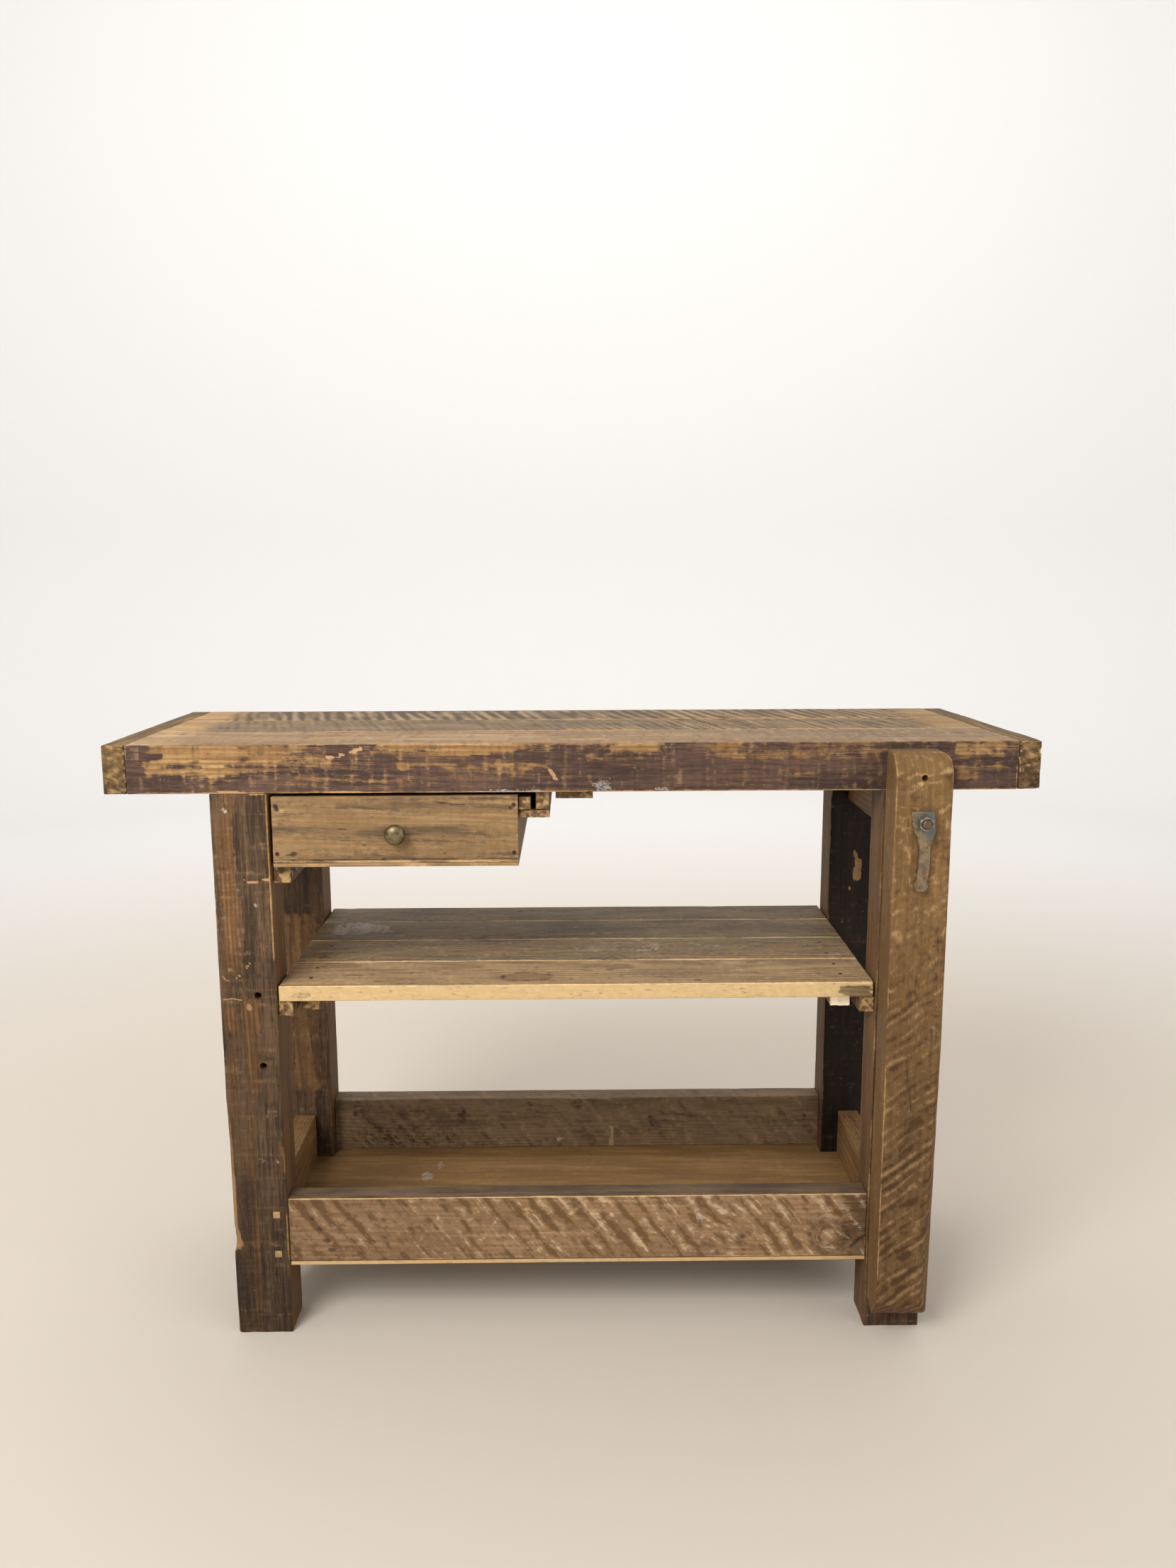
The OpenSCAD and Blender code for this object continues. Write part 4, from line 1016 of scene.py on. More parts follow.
REST_HOLES = [(m["pos_m"][0] / MM, m["pos_m"][2] / MM, m["dims"]["r_mm"])
              for m in frame["record"]["mounts"] if m["kind"] == "bore"]
FRONT_LEFT = leg_body("leg_front_left")
leg("leg_front_left", ("rail_front", "rail_left", "upper_rail_left"), pith=(60, 45),
    bores=[("Y", x, z, (r,), ((-5, 90),)) for x, z, r in REST_HOLES],
    shape=wane(FRONT_LEFT[0], top=395, foot=132, width=14))
NUT = box("vise_nut_plate")
PLATE_BACK = NUT[0][1] + 6
SCREW = ((NUT[0][0] + NUT[1][0]) / 2, (NUT[0][2] + NUT[1][2]) / 2)
GUIDE = box("vise_guide")
guide_hole = ((GUIDE[0][0] - 1, -5, GUIDE[0][2] - 1), (GUIDE[1][0] + 1, 90, GUIDE[1][2] + 1))
plate_hole = ((NUT[0][0], -5, NUT[0][2]), (NUT[1][0], PLATE_BACK, NUT[1][2]))
leg("leg_front_right", ("rail_front", "rail_right", "upper_rail_right"), pith=(-70, 30),
    cut=[guide_hole, plate_hole], bores=[("Y", *SCREW, (9, 15), ((-5, 58), (-5, NUT[1][1])))])
leg("leg_back_left", ("rail_back", "rail_left", "upper_rail_left"), pith=(20, 80))
back_right = leg("leg_back_right", ("rail_back", "rail_right", "upper_rail_right"), pith=(-55, -60))
second_material(back_right, LEG_WOOD, "X", -1)

# ---- Rails ----

RAIL_SCRATCHES = [([(-325, 135), (-300, 175)], 2.6), ([(-232, 145), (-205, 180)], 2.6),
                  ([(-140, 145), (-115, 180)], 2.6), ([(30, 160), (55, 185)], 2.6),
                  ([(-20, 175), (5, 196)], 2.6)]


def rail_saw(f):
    """Saw marks that climb to the left, calmer round the knot, where the grain curls instead."""
    x, z = f.x, f.z
    u, v = diagonal(x + 2.5 * f.noise((60, 60, 60), 69), z, -53)
    face = flat(u, v)
    bend = u + 1.5 * noise(face, (30, 30, 9), 71)
    saw = 0.4 * noise(face, (2.6, 34, 9), 70) + 0.35 * noise(face, (6, 13, 9), 73)
    saw += 0.7 * np.sin(bend * 2 * math.pi / 25) * (0.6 + 0.8 * noise(face, (26, 30, 9), 72))
    saw += 0.3 * f.noise((9, 9, 5), 76) + 0.8 * smooth(noise(face, (1.8, 60, 9), 77), 0.5, 0.8)
    saw = np.where(saw > 0, 0.55 * saw, saw) - 0.12 + 0.5 * strokes(x, z, *RAIL_SCRATCHES)
    curl = 0.8 * noise(flat(x * 0.7 + z, x * 0.5 - z), (5, 13, 9), 74)
    calm = np.clip(blob(x, z, 375, 146, 40, 40) + blob(x, z, 222, 155, 48, 60), 0, 1)
    return saw * (1 - 0.8 * calm) + curl * calm


def front_rail_carve(f):
    x, z = f.x, f.z
    saw = rail_saw(f)
    strength = 0.6 + 0.35 * smooth(x, -330, -60) - 0.1 * smooth(x, 330, 400)
    f.mark = f.front * (np.clip(saw, -1, 1) * strength - 0.1 * smooth(x, -200, -320))
    f.cut += f.front * 0.5 * dug(saw)
    f.shade = f.front * (0.14 - 0.16 * smooth(x, -300, -60))
    f.coat = f.top * 0.95 + f.front * (0.12 + 0.75 * smooth(f.wx, 385, 425)) + 0.6 * f.back
    dashes = spots(x, z, (0.75, -390, 180, 9, 7), (0.75, -380, 165, 8, 8), (0.75, -370, 146, 9, 8),
                   (0.75, -362, 131, 10, 6), (0.75, -285, 178, 7, 7))
    wedge = 0.56 * blob(f.wx, f.wz, 200, 134, 22, 13) + 0.7 * blob(x, f.wz, 245, 146, 14, 9)
    crack = stroke(x, z, [(408, 128), (418, 138), (430, 146)], 3)
    f.grime = f.front * (dashes + wedge + 0.9 * crack + 0.25 * smooth(x, 390, 428))
    f.smear = f.front * spots(x, z, (0.8, 203, 121, 10, 6), (0.8, 182, 178, 8, 14))
    for width, height in ((27, 27), (14, 15)):
        ring = np.hypot((x - 375) / width, (z - 145) / height) + 0.12 * f.noise((8, 8, 8), 75)
        f.knot = np.where((f.front > 0.5) & (abs(ring - 1) < 0.35), ring, f.knot)
    f.rub(f.front * smooth(z, 209.5, 212.5))


def plain_carve(coat_front=0.0, coat_top=0.0, mark=0.0, pitch=12, angle=0.0):
    """A board with an old skin on its front or top and, if wanted, slanting saw marks."""
    def carve(f):
        f.coat = coat_front * f.front + coat_top * f.top
        f.coat += 0.2 * f.noise(grain_size(f.along, 200, 40), 80) * (f.coat > 0)
        if mark:
            u, v = diagonal(f.x + 0.6 * f.y, f.z, angle)
            saw = noise(np.stack([u, v, f.y], 1), (pitch / 2, 60, 60), f.seed + 81)
            f.mark = mark * saw
            f.cut += 0.2 * (0.5 - 0.5 * saw)
    return carve


def back_rail_carve(f):
    """Faint saw marks, dark knots, a nail hole, a pale tear and two smears."""
    plain_carve(0.5, 0.6, 0.35, 14, -50)(f)
    x, z = f.x, f.z
    knots = spots(x, z, (0.8, -389, 178, 9, 8), (0.8, 132, 168, 7, 6), (0.56, 362, 174, 14, 12))
    knots += 0.8 * blob(f.wx, z, -200, 174, 9, 26)
    f.grime += f.front * (knots + blob(x, z, 406, 167, 5, 5))
    f.cut += f.front * 2.0 * blob(x, z, 406, 167, 3, 3)
    tear = patch(x + f.noise((3, 3, 20), 84), z, 61, 66, 112, 152, 2)
    f.rub(f.front * (0.8 * tear + 0.5 * smooth(z, 208, 212)))
    f.smear = f.front * spots(x, z, (0.8, -27, 129, 15, 7), (0.35, 345, 120, 40, 6))
    f.mark += f.front * 0.5 * f.noise((3, 30, 3), 85) * patch(f.wx, z, -380, -220, 100, 142, 20)


def rail(node, material, along, peg_holes, **more):
    """A rail between two legs, with the tenons that run into them."""
    lo, hi = box(node)
    k = "XY".index(along)
    far_leg = leg_body(("leg_front_right", "leg_back_left")[k])
    lo[k], hi[k] = FRONT_LEFT[1][k], far_leg[0][k]
    low, high = RAIL_TENONS[node]
    near_end, far_end = high.copy(), low.copy()
    near_end[k], far_end[k] = lo[k], hi[k]
    board(node, material, along, (lo, hi), [(low, near_end), (far_end, high)], peg_holes, **more)


rail("rail_front", RAIL_WOOD, "X", PEGS, pith=(40, 10), radius=1.8, step=3.0,
     carve=front_rail_carve)
rail("rail_back", BACK_WOOD, "X", PEGS, pith=(40, 30), step=3.0, carve=back_rail_carve)
for node in ("rail_left", "rail_right", "upper_rail_left", "upper_rail_right"):
    rail(node, SIDE_WOOD, "Y", SIDE_PEGS, pith=(40, 20), step=3.6, carve=plain_carve(0, 0.3, 0.3))


def small_block(lo, hi, seed, along, radius=0.8, step=1.5):
    """Points and quads of one small wooden block with rough-cut ends."""
    axes = [lines(lo[k], hi[k], step if k != along else 4, ()) for k in range(3)]
    p, q = cell_surface(axes, np.ones([len(a) - 1 for a in axes], bool))
    off = p - np.clip(p, lo + radius, hi - radius)
    far = np.maximum(np.linalg.norm(off, axis=1, keepdims=True), 1e-9)
    inwards = 0.12 + 0.12 * noise(p, (2.5, 2.5, 2.5), seed)
    return p, q, p - off + off / far * (np.minimum(far, radius) - inwards[:, None])


def joined(parts):
    """Points and faces of several pieces (points, faces) as those of one."""
    start = np.cumsum([0] + [len(p) for p, _ in parts])
    if isinstance(parts[0][1], np.ndarray):
        faces = np.concatenate([q + s for (_, q), s in zip(parts, start)])
    else:
        faces = [[v + s for v in face] for (_, q), s in zip(parts, start) for face in q]
    return np.concatenate([p for p, _ in parts]), faces


def pegs(node, boxes, along):
    """The square pegs of a node in one piece."""
    parts, grains = [], []
    order = [along] + [k for k in range(3) if k != along]
    for i, (lo, hi) in enumerate(boxes):
        p, q, worn = small_block(lo, hi, 90 + i, along)
        parts.append((worn, q))
        grains.append((p - (lo + hi) / 2)[:, order] + (i * 331.0, 6.0 + i, -9.0))
    obj = make_mesh(node + "_set", *joined(parts))
    grain = np.concatenate(grains)
    set_vectors(obj, grain=grain, tone=0 * grain + (0, 0.3, 0), spot=0 * grain + (3, 0, 0))
    place(obj, node, PEG_WOOD)


pegs("rail_pegs", PEGS, 1)
pegs("side_rail_pegs", SIDE_PEGS, 0)

# ---- Tray, shelf and their strips ----

TRAY = box("tray_sheet")


def tray_carve(f):
    """A dark core ply in the edges and a smear on top."""
    side = 1 - f.top - f.under
    ply = smooth(abs(f.z - (TRAY[0][2] + TRAY[1][2]) / 2), 1.0, 0.6)
    f.grime = side * 0.9 * ply
    f.wear = np.maximum(side * (1 - ply), 0)
    f.smear = f.top * spots(f.x, f.y, (1, -252, 262, 15, 22), (0.7, -234, 300, 8, 22))


corners = [leg_body("leg_" + n) for n in ("front_left", "front_right", "back_left", "back_right")]
corners = [((lo[0] - 1, lo[1] - 1, TRAY[0][2] - 1), (hi[0] + 1, hi[1] + 1, TRAY[1][2] + 1))
           for lo, hi in corners]
board("tray_sheet", TRAY_WOOD, "X", TRAY, (), corners, radius=0.5, step=4.5, rough=0.1,
      chips=0.1, pith=(10, -300), carve=tray_carve)


def shelf_1_marks(f):
    """The front board: a knot, its cracks, and a stain on the right of its pale edge."""
    x, y, z = f.x, f.y, f.z
    knot = np.hypot((x + 70 + 0.3 * (y - 35)) / 36, (y - 34) / 19) + 0.16 * f.noise((12, 12, 9), 102)
    f.add_knot(knot, f.top > 0.3)
    stain = patch(f.wx, f.wz, 388, 430, 515, 534, 5)
    f.grime += f.top * spots(x, y, (0.9, -38, 52, 7, 6), (0.8, -105, 38, 6, 12), (0.55, 20, 77, 22, 5),
                             (0.9, 68, 38, 5, 4), (0.7, 55, 66, 14, 7), (0.7, 178, 15, 12, 6))
    f.grime += f.front * (0.3 * stain + 0.5 * patch(f.wx, f.wz, -402, -378, 522, 530, 8)
                          + 0.45 * blob(x, z, -101, 538, 12, 12))
    f.wear -= f.front * (0.75 * stain + 0.3 * blob(x, z, -101, 535, 18, 14))
    f.shade += f.front * 0.2 * stain
    f.mark += f.front * 0.35 * f.noise((40, 9, 2.6), 104)
    f.smear += f.top * 0.6 * smooth(x, 150, 260) * smooth(f.noise((22, 3, 9), 103), 0.45, 0.8)


def shelf_2_marks(f):
    """The second board: pale clouds on its right half and dirt along its front edge."""
    clouds = patches(f.wx, f.wy, (0.6, 20, 120, 160, 205, 22), (0.45, 190, 260, 165, 200, 18))
    f.smear = f.top * ((0.5 + 0.7 * f.noise((26, 12, 9), 105)) * clouds
                       + 0.45 * patch(f.x, f.wy, 380, 420, 128, 140, 6))
    f.grime += f.top * 0.7 * patch(f.x, f.wy, 20, 95, 111, 116, 3)


def shelf_3_marks(f):
    """The third board: a grey smear on its left and a rusty knot."""
    x, y = f.x, f.y
    f.smear = f.top * patches(f.wx, f.wy, (0.8, -390, -345, 258, 315, 12), (0.8, -345, -305, 270, 306, 14))
    knot = np.hypot((x + 120) / 34, (y - 224) / 20) + 0.1 * f.noise((9, 9, 9), 107)
    f.add_knot(knot, f.top > 0.3)
    f.wear += f.top * 0.3 * blob(x, y, -120, 226, 26, 12)
    f.grime += f.top * spots(x, y, (0.5, -140, 222, 9, 9), (0.5, -98, 224, 7, 8))


def shelf_4_marks(f):
    """The rear board: two dark spots."""
    f.grime += f.top * spots(f.x, f.y, (0.8, -95, 385, 12, 9), (0.7, -75, 395, 9, 6))


def shelf_carve(coat, shade, own_marks, first):
    """A weathered top, darker from board to board, with a pale planed front edge."""
    def carve(f):
        f.coat = f.top * (coat + 0.35 * f.noise((180, 25, 25), 100)) + f.under * 0.4
        f.shade = f.top * shade
        f.mark = f.top * 0.3 * f.noise((26, 3.5, 6), 101)
        f.wear = np.maximum(f.wear * 0.6, f.front * 1.05)
        joint = smooth(f.y - f.lo[1], 4.5, 1.5) * (0.8 + 0.5 * f.noise((60, 30, 30), 106))
        f.rub(f.top * joint * (not first))
        own_marks(f)
    return carve


SHELF = (  # coat, shade, the board's own marks, pith and tilt, from front to back
    (0.1, -0.5, shelf_1_marks, (30, -60), (0.012, 0.02)),
    (0.5, -0.36, shelf_2_marks, (-20, 70), (0.0, 0.016)),
    (0.72, -0.04, shelf_3_marks, (45, -45), (-0.014, 0.01)),
    (0.75, 0.04, shelf_4_marks, (10, -80), (0.02, 0.0)),
)
for i, (coat, shade, marks, pith, tilt) in enumerate(SHELF):
    board(f"shelf_board_{i + 1}", SHELF_WOOD, "X", radius=1.5, pith=pith, tilt=tilt,
          carve=shelf_carve(coat, shade, marks, i == 0), chips=0.9)


def strip_carve(f):
    """Sawn with slanting marks, and rough where it is cut off."""
    broken = f.to_end < 5
    f.cut += np.where(broken, 1.6 * (0.5 + 0.5 * f.noise((2.5, 2.5, 2.5), 110)), 0)
    f.wear = np.where(broken, 0.55 + 0.4 * f.noise((5, 5, 5), 113), f.wear)
    f.coat = 0.25 + 0.25 * f.noise(grain_size(f.along, 90, 12), 111)
    f.mark = 0.5 * noise(flat(*diagonal(f.x + f.y, f.z, 35)), (3, 25, 9), f.seed + 112)


def raw_end_with_painted_light(f):
    """The right batten's end is pale, freshly broken wood, made paler still with painted light where the
    shelf shades it.
    """
    strip_carve(f)
    end = smooth(f.to_end, 7, 4)
    # the end is rubbed to the near-white raw colour and lightened through the shade attribute: fresh wood,
    # brightened with painted light
    f.rub(end * (1.2 + 0.4 * f.noise((4, 4, 4), 116)))
    f.shade -= 0.6 * end


def snapped(p, f):
    """A strip's front end is snapped off: the break climbs from its lower left corner."""
    across, _, up = ((p - f.lo) / (f.hi - f.lo)).T
    reach = 16 * np.clip(up, 0, 1) * np.clip(across + 0.15, 0, 1) + 2 * noise(p, (5, 5, 5), 115)
    fade = np.clip(1 - (p[:, 1] - f.lo[1]) / 60, 0, 1)
    q = p.copy()
    q[:, 1] += np.clip(reach, 0, None) * fade
    return q


STRIP = dict(along="Y", radius=1.0, step=2.6, rough=0.35, chips=0.9, pith=(12, -16))
for node in ("shelf_batten_left", "shelf_ledger_left", "shelf_ledger_right", "runner_spacer",
             "runner_ledge", "drawer_cleat", "top_batten"):
    board(node, SAWN_WOOD, carve=strip_carve, **STRIP)
board("shelf_batten_right", RAW_WOOD_WITH_PAINTED_LIGHT, carve=raw_end_with_painted_light, **STRIP)
board("drawer_ledger", SAWN_WOOD, carve=strip_carve, shape=snapped, **STRIP)

# ---- Drawer ----


def drawer_carve(f):
    """The drawer's front: clouds of old skin, nail holes, checks and a scribed lower lip."""
    x, z = f.x, f.z
    coat = 0.2 + 0.45 * f.noise((220, 30, 12), 120) + 0.25 * f.noise((120, 30, 5), 121)
    coat += patches(x, f.wz, (0.35, -330, -90, 798, 803, 3), (0.4, -300, -150, 762, 769, 4))
    f.coat = f.front * coat + 0.4 * f.back
    holes = spots(x, z, (1, -413, 797, 5, 5), (0.9, -88, 798, 5, 5))
    checks = strokes(x, z, ([(-192, 806), (-175, 804), (-152, 802)], 2), ([(-402, 733), (-385, 734)], 2),
                     ([(-330, 769), (-318, 769)], 2.6))
    f.cut += f.front * 2.0 * np.clip(holes, 0, 1)
    f.grime = f.front * (holes + 0.8 * checks + 0.5 * smooth(f.noise((14, 9, 3), 122), 0.62, 0.85))
    f.wear = np.where(f.front > 0.5, np.maximum(f.wear * 0.6, 0.7 * blob(x, z, -406, 794, 7, 6)), f.wear)
    # a scribed line just above the lower edge, and the paler lip under it
    rise = z - f.lo[2] - 0.4 * f.noise((60, 60, 60), 119)
    scribe = f.front * smooth(abs(rise - 5.2), 1.9, 0.8)
    f.cut += 0.9 * scribe
    f.grime += scribe * (0.8 + 0.3 * f.noise((30, 30, 30), 118))
    f.rub(f.front * smooth(rise, 4.4, 3.4) * (0.6 + 0.4 * f.noise((40, 9, 9), 117)))


def side_carve(f):
    f.coat = 0.35 + 0.4 * f.noise(grain_size(f.along, 160, 12), 123)
    f.shade += 0.12


board("drawer_front", PINE, "X", radius=1.3, step=2.4, pith=(20, -60), tilt=(0.0, 0.03),
      carve=drawer_carve)
for node in ("drawer_side_left", "drawer_side_right"):
    board(node, PINE, "Y", radius=0.9, pith=(30, -40), carve=side_carve)
board("drawer_back", PINE, "X", radius=0.9, pith=(30, 50), carve=side_carve)
board("drawer_bottom", PINE, "X", radius=0.5, step=4, rough=0.1, chips=0.2, pith=(10, -300))

# ---- Vise ----

JAW = box("vise_jaw")
JAW_SMUDGES = ((468, 310, 18, 9), (480, 350, 14, 9), (474, 190, 15, 11), (478, 232, 15, 9),
               (470, 150, 13, 12), (468, 105, 17, 12), (484, 128, 10, 8))
JAW_HOLE = (472, 846)
SAW_ANGLE = 36


def jaw_shape(p, _):
    """The jaw's rounded nose, its corners, its sloping foot and the long chamfer on the right."""
    (x0, y0, z0), (x1, y1, z1) = JAW
    x, y, z = p.T
    over = np.clip(z - (z1 - 26), 0, 26)
    sunk = 0.75 * np.maximum(over - 1, 0) + 0.08 * np.maximum(over - 18, 0) ** 2
    sunk = sunk + 24 * (np.clip(74 - z, 0, 32) / 32) ** 1.3
    y = y1 - (y1 - y) * (1 - sunk / (y1 - y0))
    share = (x - x0) / (x1 - x0)
    for radius, weight in ((15, -share), (5, 1 - share)):
        above = np.clip(z - (z1 - radius), 0, radius)
        x = x + (radius - np.sqrt(radius ** 2 - above ** 2)) * weight
    z = z + 9 * smooth(y, -33, y1) * smooth(z, 90, z0)
    chamfer = 18 * np.clip((560 - z) / 540, 0, 1)
    push = np.clip((chamfer - (x1 - x) - (y - y0)) / 2, 0, None)
    return np.stack([x - push, y + push, z], axis=1)


def jaw_saw(f):
    """The jaw's slanting saw marks, and how far below its plain upper half a point lies."""
    u, v = diagonal(f.x, f.z + 4 * f.noise((40, 40, 40), 129), SAW_ANGLE)
    bend = u + 1.6 * noise(flat(u, v), (20, 26, 9), 128)
    saw = 0.55 * noise(flat(bend, v), (2.8, 30, 9), 130) + 0.3 * f.noise((9, 9, 9), 127)
    saw += 0.65 * np.sin(bend * 2 * math.pi / 13) * (0.7 + 0.5 * f.noise((40, 40, 40), 133)) - 0.05
    smudges = 0
    for x, z, along, across in JAW_SMUDGES:
        middle = diagonal(x, z, SAW_ANGLE)
        smudges = smudges + blob(u + 4 * f.noise((8, 8, 8), 139), v, *middle, across, along)
    return saw, smudges


def jaw_marks(f, saw, smudges, low, blotch):
    """Saw marks below, blotches and veins above, smudges, a pale worn border under the nose and a band of
    painted shade just below that border.
    """
    x, z = f.x, f.z
    mark = low * (0.55 + 0.2 * smooth(z, 400, 250)) * saw + 0.2 * f.noise((5, 5, 5), 138)
    vein = smooth(abs(f.noise((16, 16, 16), 124)), 0.14, 0.02)
    mark += (1 - low) * (0.3 * blotch + 0.22 * saw + 0.3 * vein) - 0.55 * smudges
    edge = 851 + 2.2 * f.noise((14, 14, 200), 136) + 0.003 * (x - 462) ** 2
    mark += 0.6 * smooth(abs(z - edge), 4, 1) * (0.6 + 0.8 * f.noise((7, 7, 7), 137))
    # painted shade: a darker band about 7 mm below the pale border, setting the nose's edge off from the
    # face under it
    mark -= 0.3 * smooth(abs(z - edge + 7), 4, 1) * (0.6 + 0.8 * f.noise((12, 7, 7), 126))
    return mark * (1 - 0.5 * smooth(z, 852, 856))


def jaw_carve(f):
    x, z = f.x, f.z
    saw, smudges = jaw_saw(f)
    low = smooth(z, 700, 400)
    blotch = f.noise((13, 13, 13), 131) + 0.5 * f.noise((30, 30, 30), 134)
    f.mark = f.front * jaw_marks(f, saw, smudges, low, blotch) + f.left * 0.15 * f.noise((9, 9, 30), 135)
    f.cut += f.front * (0.45 * dug(saw) * low + 0.5 * (0.5 - 0.5 * blotch))
    hole = np.hypot(x - JAW_HOLE[0], z - JAW_HOLE[1])
    crack = stroke(x + f.noise((5, 5, 9), 123), z, [(465, 434), (468, 405), (473, 370)], 1.2)
    f.cut += f.front * (8 * smooth(hole, 4.0, 3.2) + 0.9 * crack)
    f.grime = f.front * (smooth(hole, 5.0, 3.5) + 0.6 * crack)
    f.wear = np.maximum(f.wear * 0.8, f.front * 0.8 * blob(x, z, 467, 838, 8, 6))
    thin = 0.55 + 0.35 * f.noise((20, 20, 45), 125)
    f.rub(f.front * thin * smooth(x - JAW[0][0], 4, 1.5) * smooth(z, 60, 90))
    f.coat = 0.15 + 0.25 * f.noise((14, 14, 140), 132)
    f.shade = f.front * (0.36 * smooth(z, 780, 250) - 0.16) - 0.1 * f.left


board("vise_jaw", JAW_WOOD, "Z", cut=[GUIDE], radius=3.0, step=2.6, chips=0.3,
      bores=[("Y", *SCREW, (8.1, 14), ((-80, 10), (JAW[1][1] - 6.5, 10))),
             ("Y", *JAW_HOLE, (4.0,), ((JAW[0][1] - 5, JAW[0][1] - 4),))],
      pith=(-60, 50), carve=jaw_carve, shape=jaw_shape)
PIN_HOLES = [GUIDE[1][1] - 40 + 22 * i for i in range(2)]
board("vise_guide", PEG_WOOD, "Y", radius=1.0, pith=(10, -20),
      bores=[("X", y, (GUIDE[0][2] + GUIDE[1][2]) / 2, (5,), ((400, 520),)) for y in PIN_HOLES])

# ---- Iron and steel ----


def lever_carve(f):
    """Forged, with patina on the head's right side, a speckled neck and a rusty handle."""
    f.cut += 0.55 * (0.5 + 0.5 * f.noise((9, 9, 9), 140))
    f.cut += 0.25 * (0.5 + 0.5 * f.noise((3, 3, 3), 141))
    x, t = f.x - SCREW[0], f.z - SCREW[1]
    f.coat = smooth(t, -30, -18) * (0.1 + 0.7 * smooth(x, -6, 6)) + 0.2
    f.coat += 0.3 * smooth(np.hypot(x, t), 17, 11) + 0.15 * smooth(t, -74, -82)
    speckle = smooth(f.noise((2.6, 2.6, 2.6), 142), 0.15, 0.6)
    f.wear = np.maximum(f.wear * 0.7, 0.6 * speckle * blob(x, t, 1, -42, 9, 8))
    f.rub(0.7 * speckle * smooth(x, -4, -9) * smooth(t, -22, -12))
    f.rub(spots(x, t, (0.6, -2, -90, 6, 3), (0.4, -7, -84, 3, 8)))
    f.mark = spots(x, t, (0.85, 1, -68, 9, 10), (0.5, 1, -55, 9, 9), (-0.1, 1, -40, 9, 9))


def lever_shape(p, _):
    """The lever's outline: a square-shouldered head, a narrow neck and a round end."""
    (x0, _, _), (x1, _, _) = box("vise_lever")
    t = p[:, 2] - SCREW[1]
    left = np.interp(t, [-82, -62, -32, -19, -10, 12], [-9.6, -6.6, -6.4, -10.5, -15.5, -19])
    right = np.interp(t, [-82, -62, -32, -20, -11, 12], [6.2, 9.0, 8.9, 13, 16, 14])
    end = np.sqrt(np.clip(9.8 ** 2 - (t + 86) ** 2, 1.5, None))
    left = np.where(t < -82, -1.7 - end, left)
    right = np.where(t < -82, -1.7 + end, right)
    corner = 4 - np.sqrt(np.clip(16 - np.clip(t - 12, 0, 3.9) ** 2, 0, None))
    share = (p[:, 0] - x0) / (x1 - x0)
    x = SCREW[0] + left + corner + (right - left - 2 * corner) * share
    keep = smooth(np.hypot(p[:, 0] - SCREW[0], t), 13, 8)
    q = p.copy()
    q[:, 0] = keep * p[:, 0] + (1 - keep) * x
    return q


board("vise_lever", IRON, "Z", radius=1.6, step=1.4, rough=0.2, chips=0.3, carve=lever_carve,
      bores=[("Y", *SCREW, (6.5,), ((-90, -40),))], shape=lever_shape)
boss = ((SCREW[0] - 15, PLATE_BACK, SCREW[1] - 15), (SCREW[0] + 15, NUT[1][1], SCREW[1] + 15))
board("vise_nut_plate", IRON, "Z", (NUT[0], (NUT[1][0], PLATE_BACK, NUT[1][2])), [boss],
      radius=0.8, step=2.0, rough=0.3, chips=0.1,
      bores=[("Y", *SCREW, (8.1, 15), ((-5, 40), (40, 41)))])


def lathe(profile, sides, wobble=None, closed=False):
    """Points (across, along, up) and faces of a turned solid; profile is (along, radius) pairs.

    The profile runs forwards on the outside. A closed one is a ring with a hole.
    """
    turn = np.arange(sides) * 2 * math.pi / sides
    rows = []
    for t, r in profile:
        radius = r * np.ones(sides) if wobble is None else wobble(turn, t, r)
        rows.append(np.stack([radius * np.cos(turn), np.full(sides, t), radius * np.sin(turn)], 1))
    count = len(profile)
    faces = []
    for i in range(count if closed else count - 1):
        a, b = i * sides, (i + 1) % count * sides
        faces += [[a + j, b + j, b + (j + 1) % sides, a + (j + 1) % sides] for j in range(sides)]
    if not closed:
        faces += [[j for j in range(sides)], [(count - 1) * sides + j for j in reversed(range(sides))]]
    return np.concatenate(rows), faces


def aimed(points, start, direction):
    """Turned points moved so that their axis begins at start and runs along direction."""
    d = np.asarray(direction, float)
    first = np.cross(d, (0, 0, 1) if abs(d[2]) < 0.9 else (0, 1, 0))
    second = np.cross(first, d)
    return np.asarray(start) + points[:, :1] * first + points[:, 1:2] * d + points[:, 2:] * second


def turned(node, material, profile, sides=64, wobble=None, closed=False):
    """A turned part on an axis along Y; profile is (Y, radius) pairs."""
    lo, hi = box(node)
    points, faces = lathe(profile, sides, wobble, closed)
    points += (lo + hi) / 2 * (1, 0, 1)
    return place(make_mesh(node + "_turned", points, faces), node, material)


def washer(node, material, outer, inner, c):
    """A ring with rims that are chamfered by c."""
    y0, y1 = (corner[1] for corner in box(node))
    profile = [(y0, inner + c), (y0, outer - c), (y0 + c * 0.3, outer - c * 0.3), (y0 + c, outer),
               (y1 - c, outer), (y1 - c * 0.3, outer - c * 0.3), (y1, outer - c), (y1, inner + c),
               (y1 - c, inner), (y0 + c, inner)]
    turned(node, material, profile, closed=True)


def hexagon(across):
    """Six flats that the cone of the chamfer cuts into."""
    def wobble(turn, _, r):
        flat_at = across / 2 / np.cos((turn + math.pi / 6) % (math.pi / 3) - math.pi / 6)
        return np.minimum(flat_at, r) if r > across * 0.4 else r * np.ones_like(turn)
    return wobble


def thread(pitch, depth, start, end):
    """A right-hand thread between two places on the axis."""
    def wobble(turn, y, r):
        groove = 0.5 + 0.5 * np.cos(turn + y * 2 * math.pi / pitch)
        fade = min(1, max(0, (y - start) / pitch)) * min(1, max(0, (end - y) / pitch))
        return r - depth * groove * fade
    return wobble


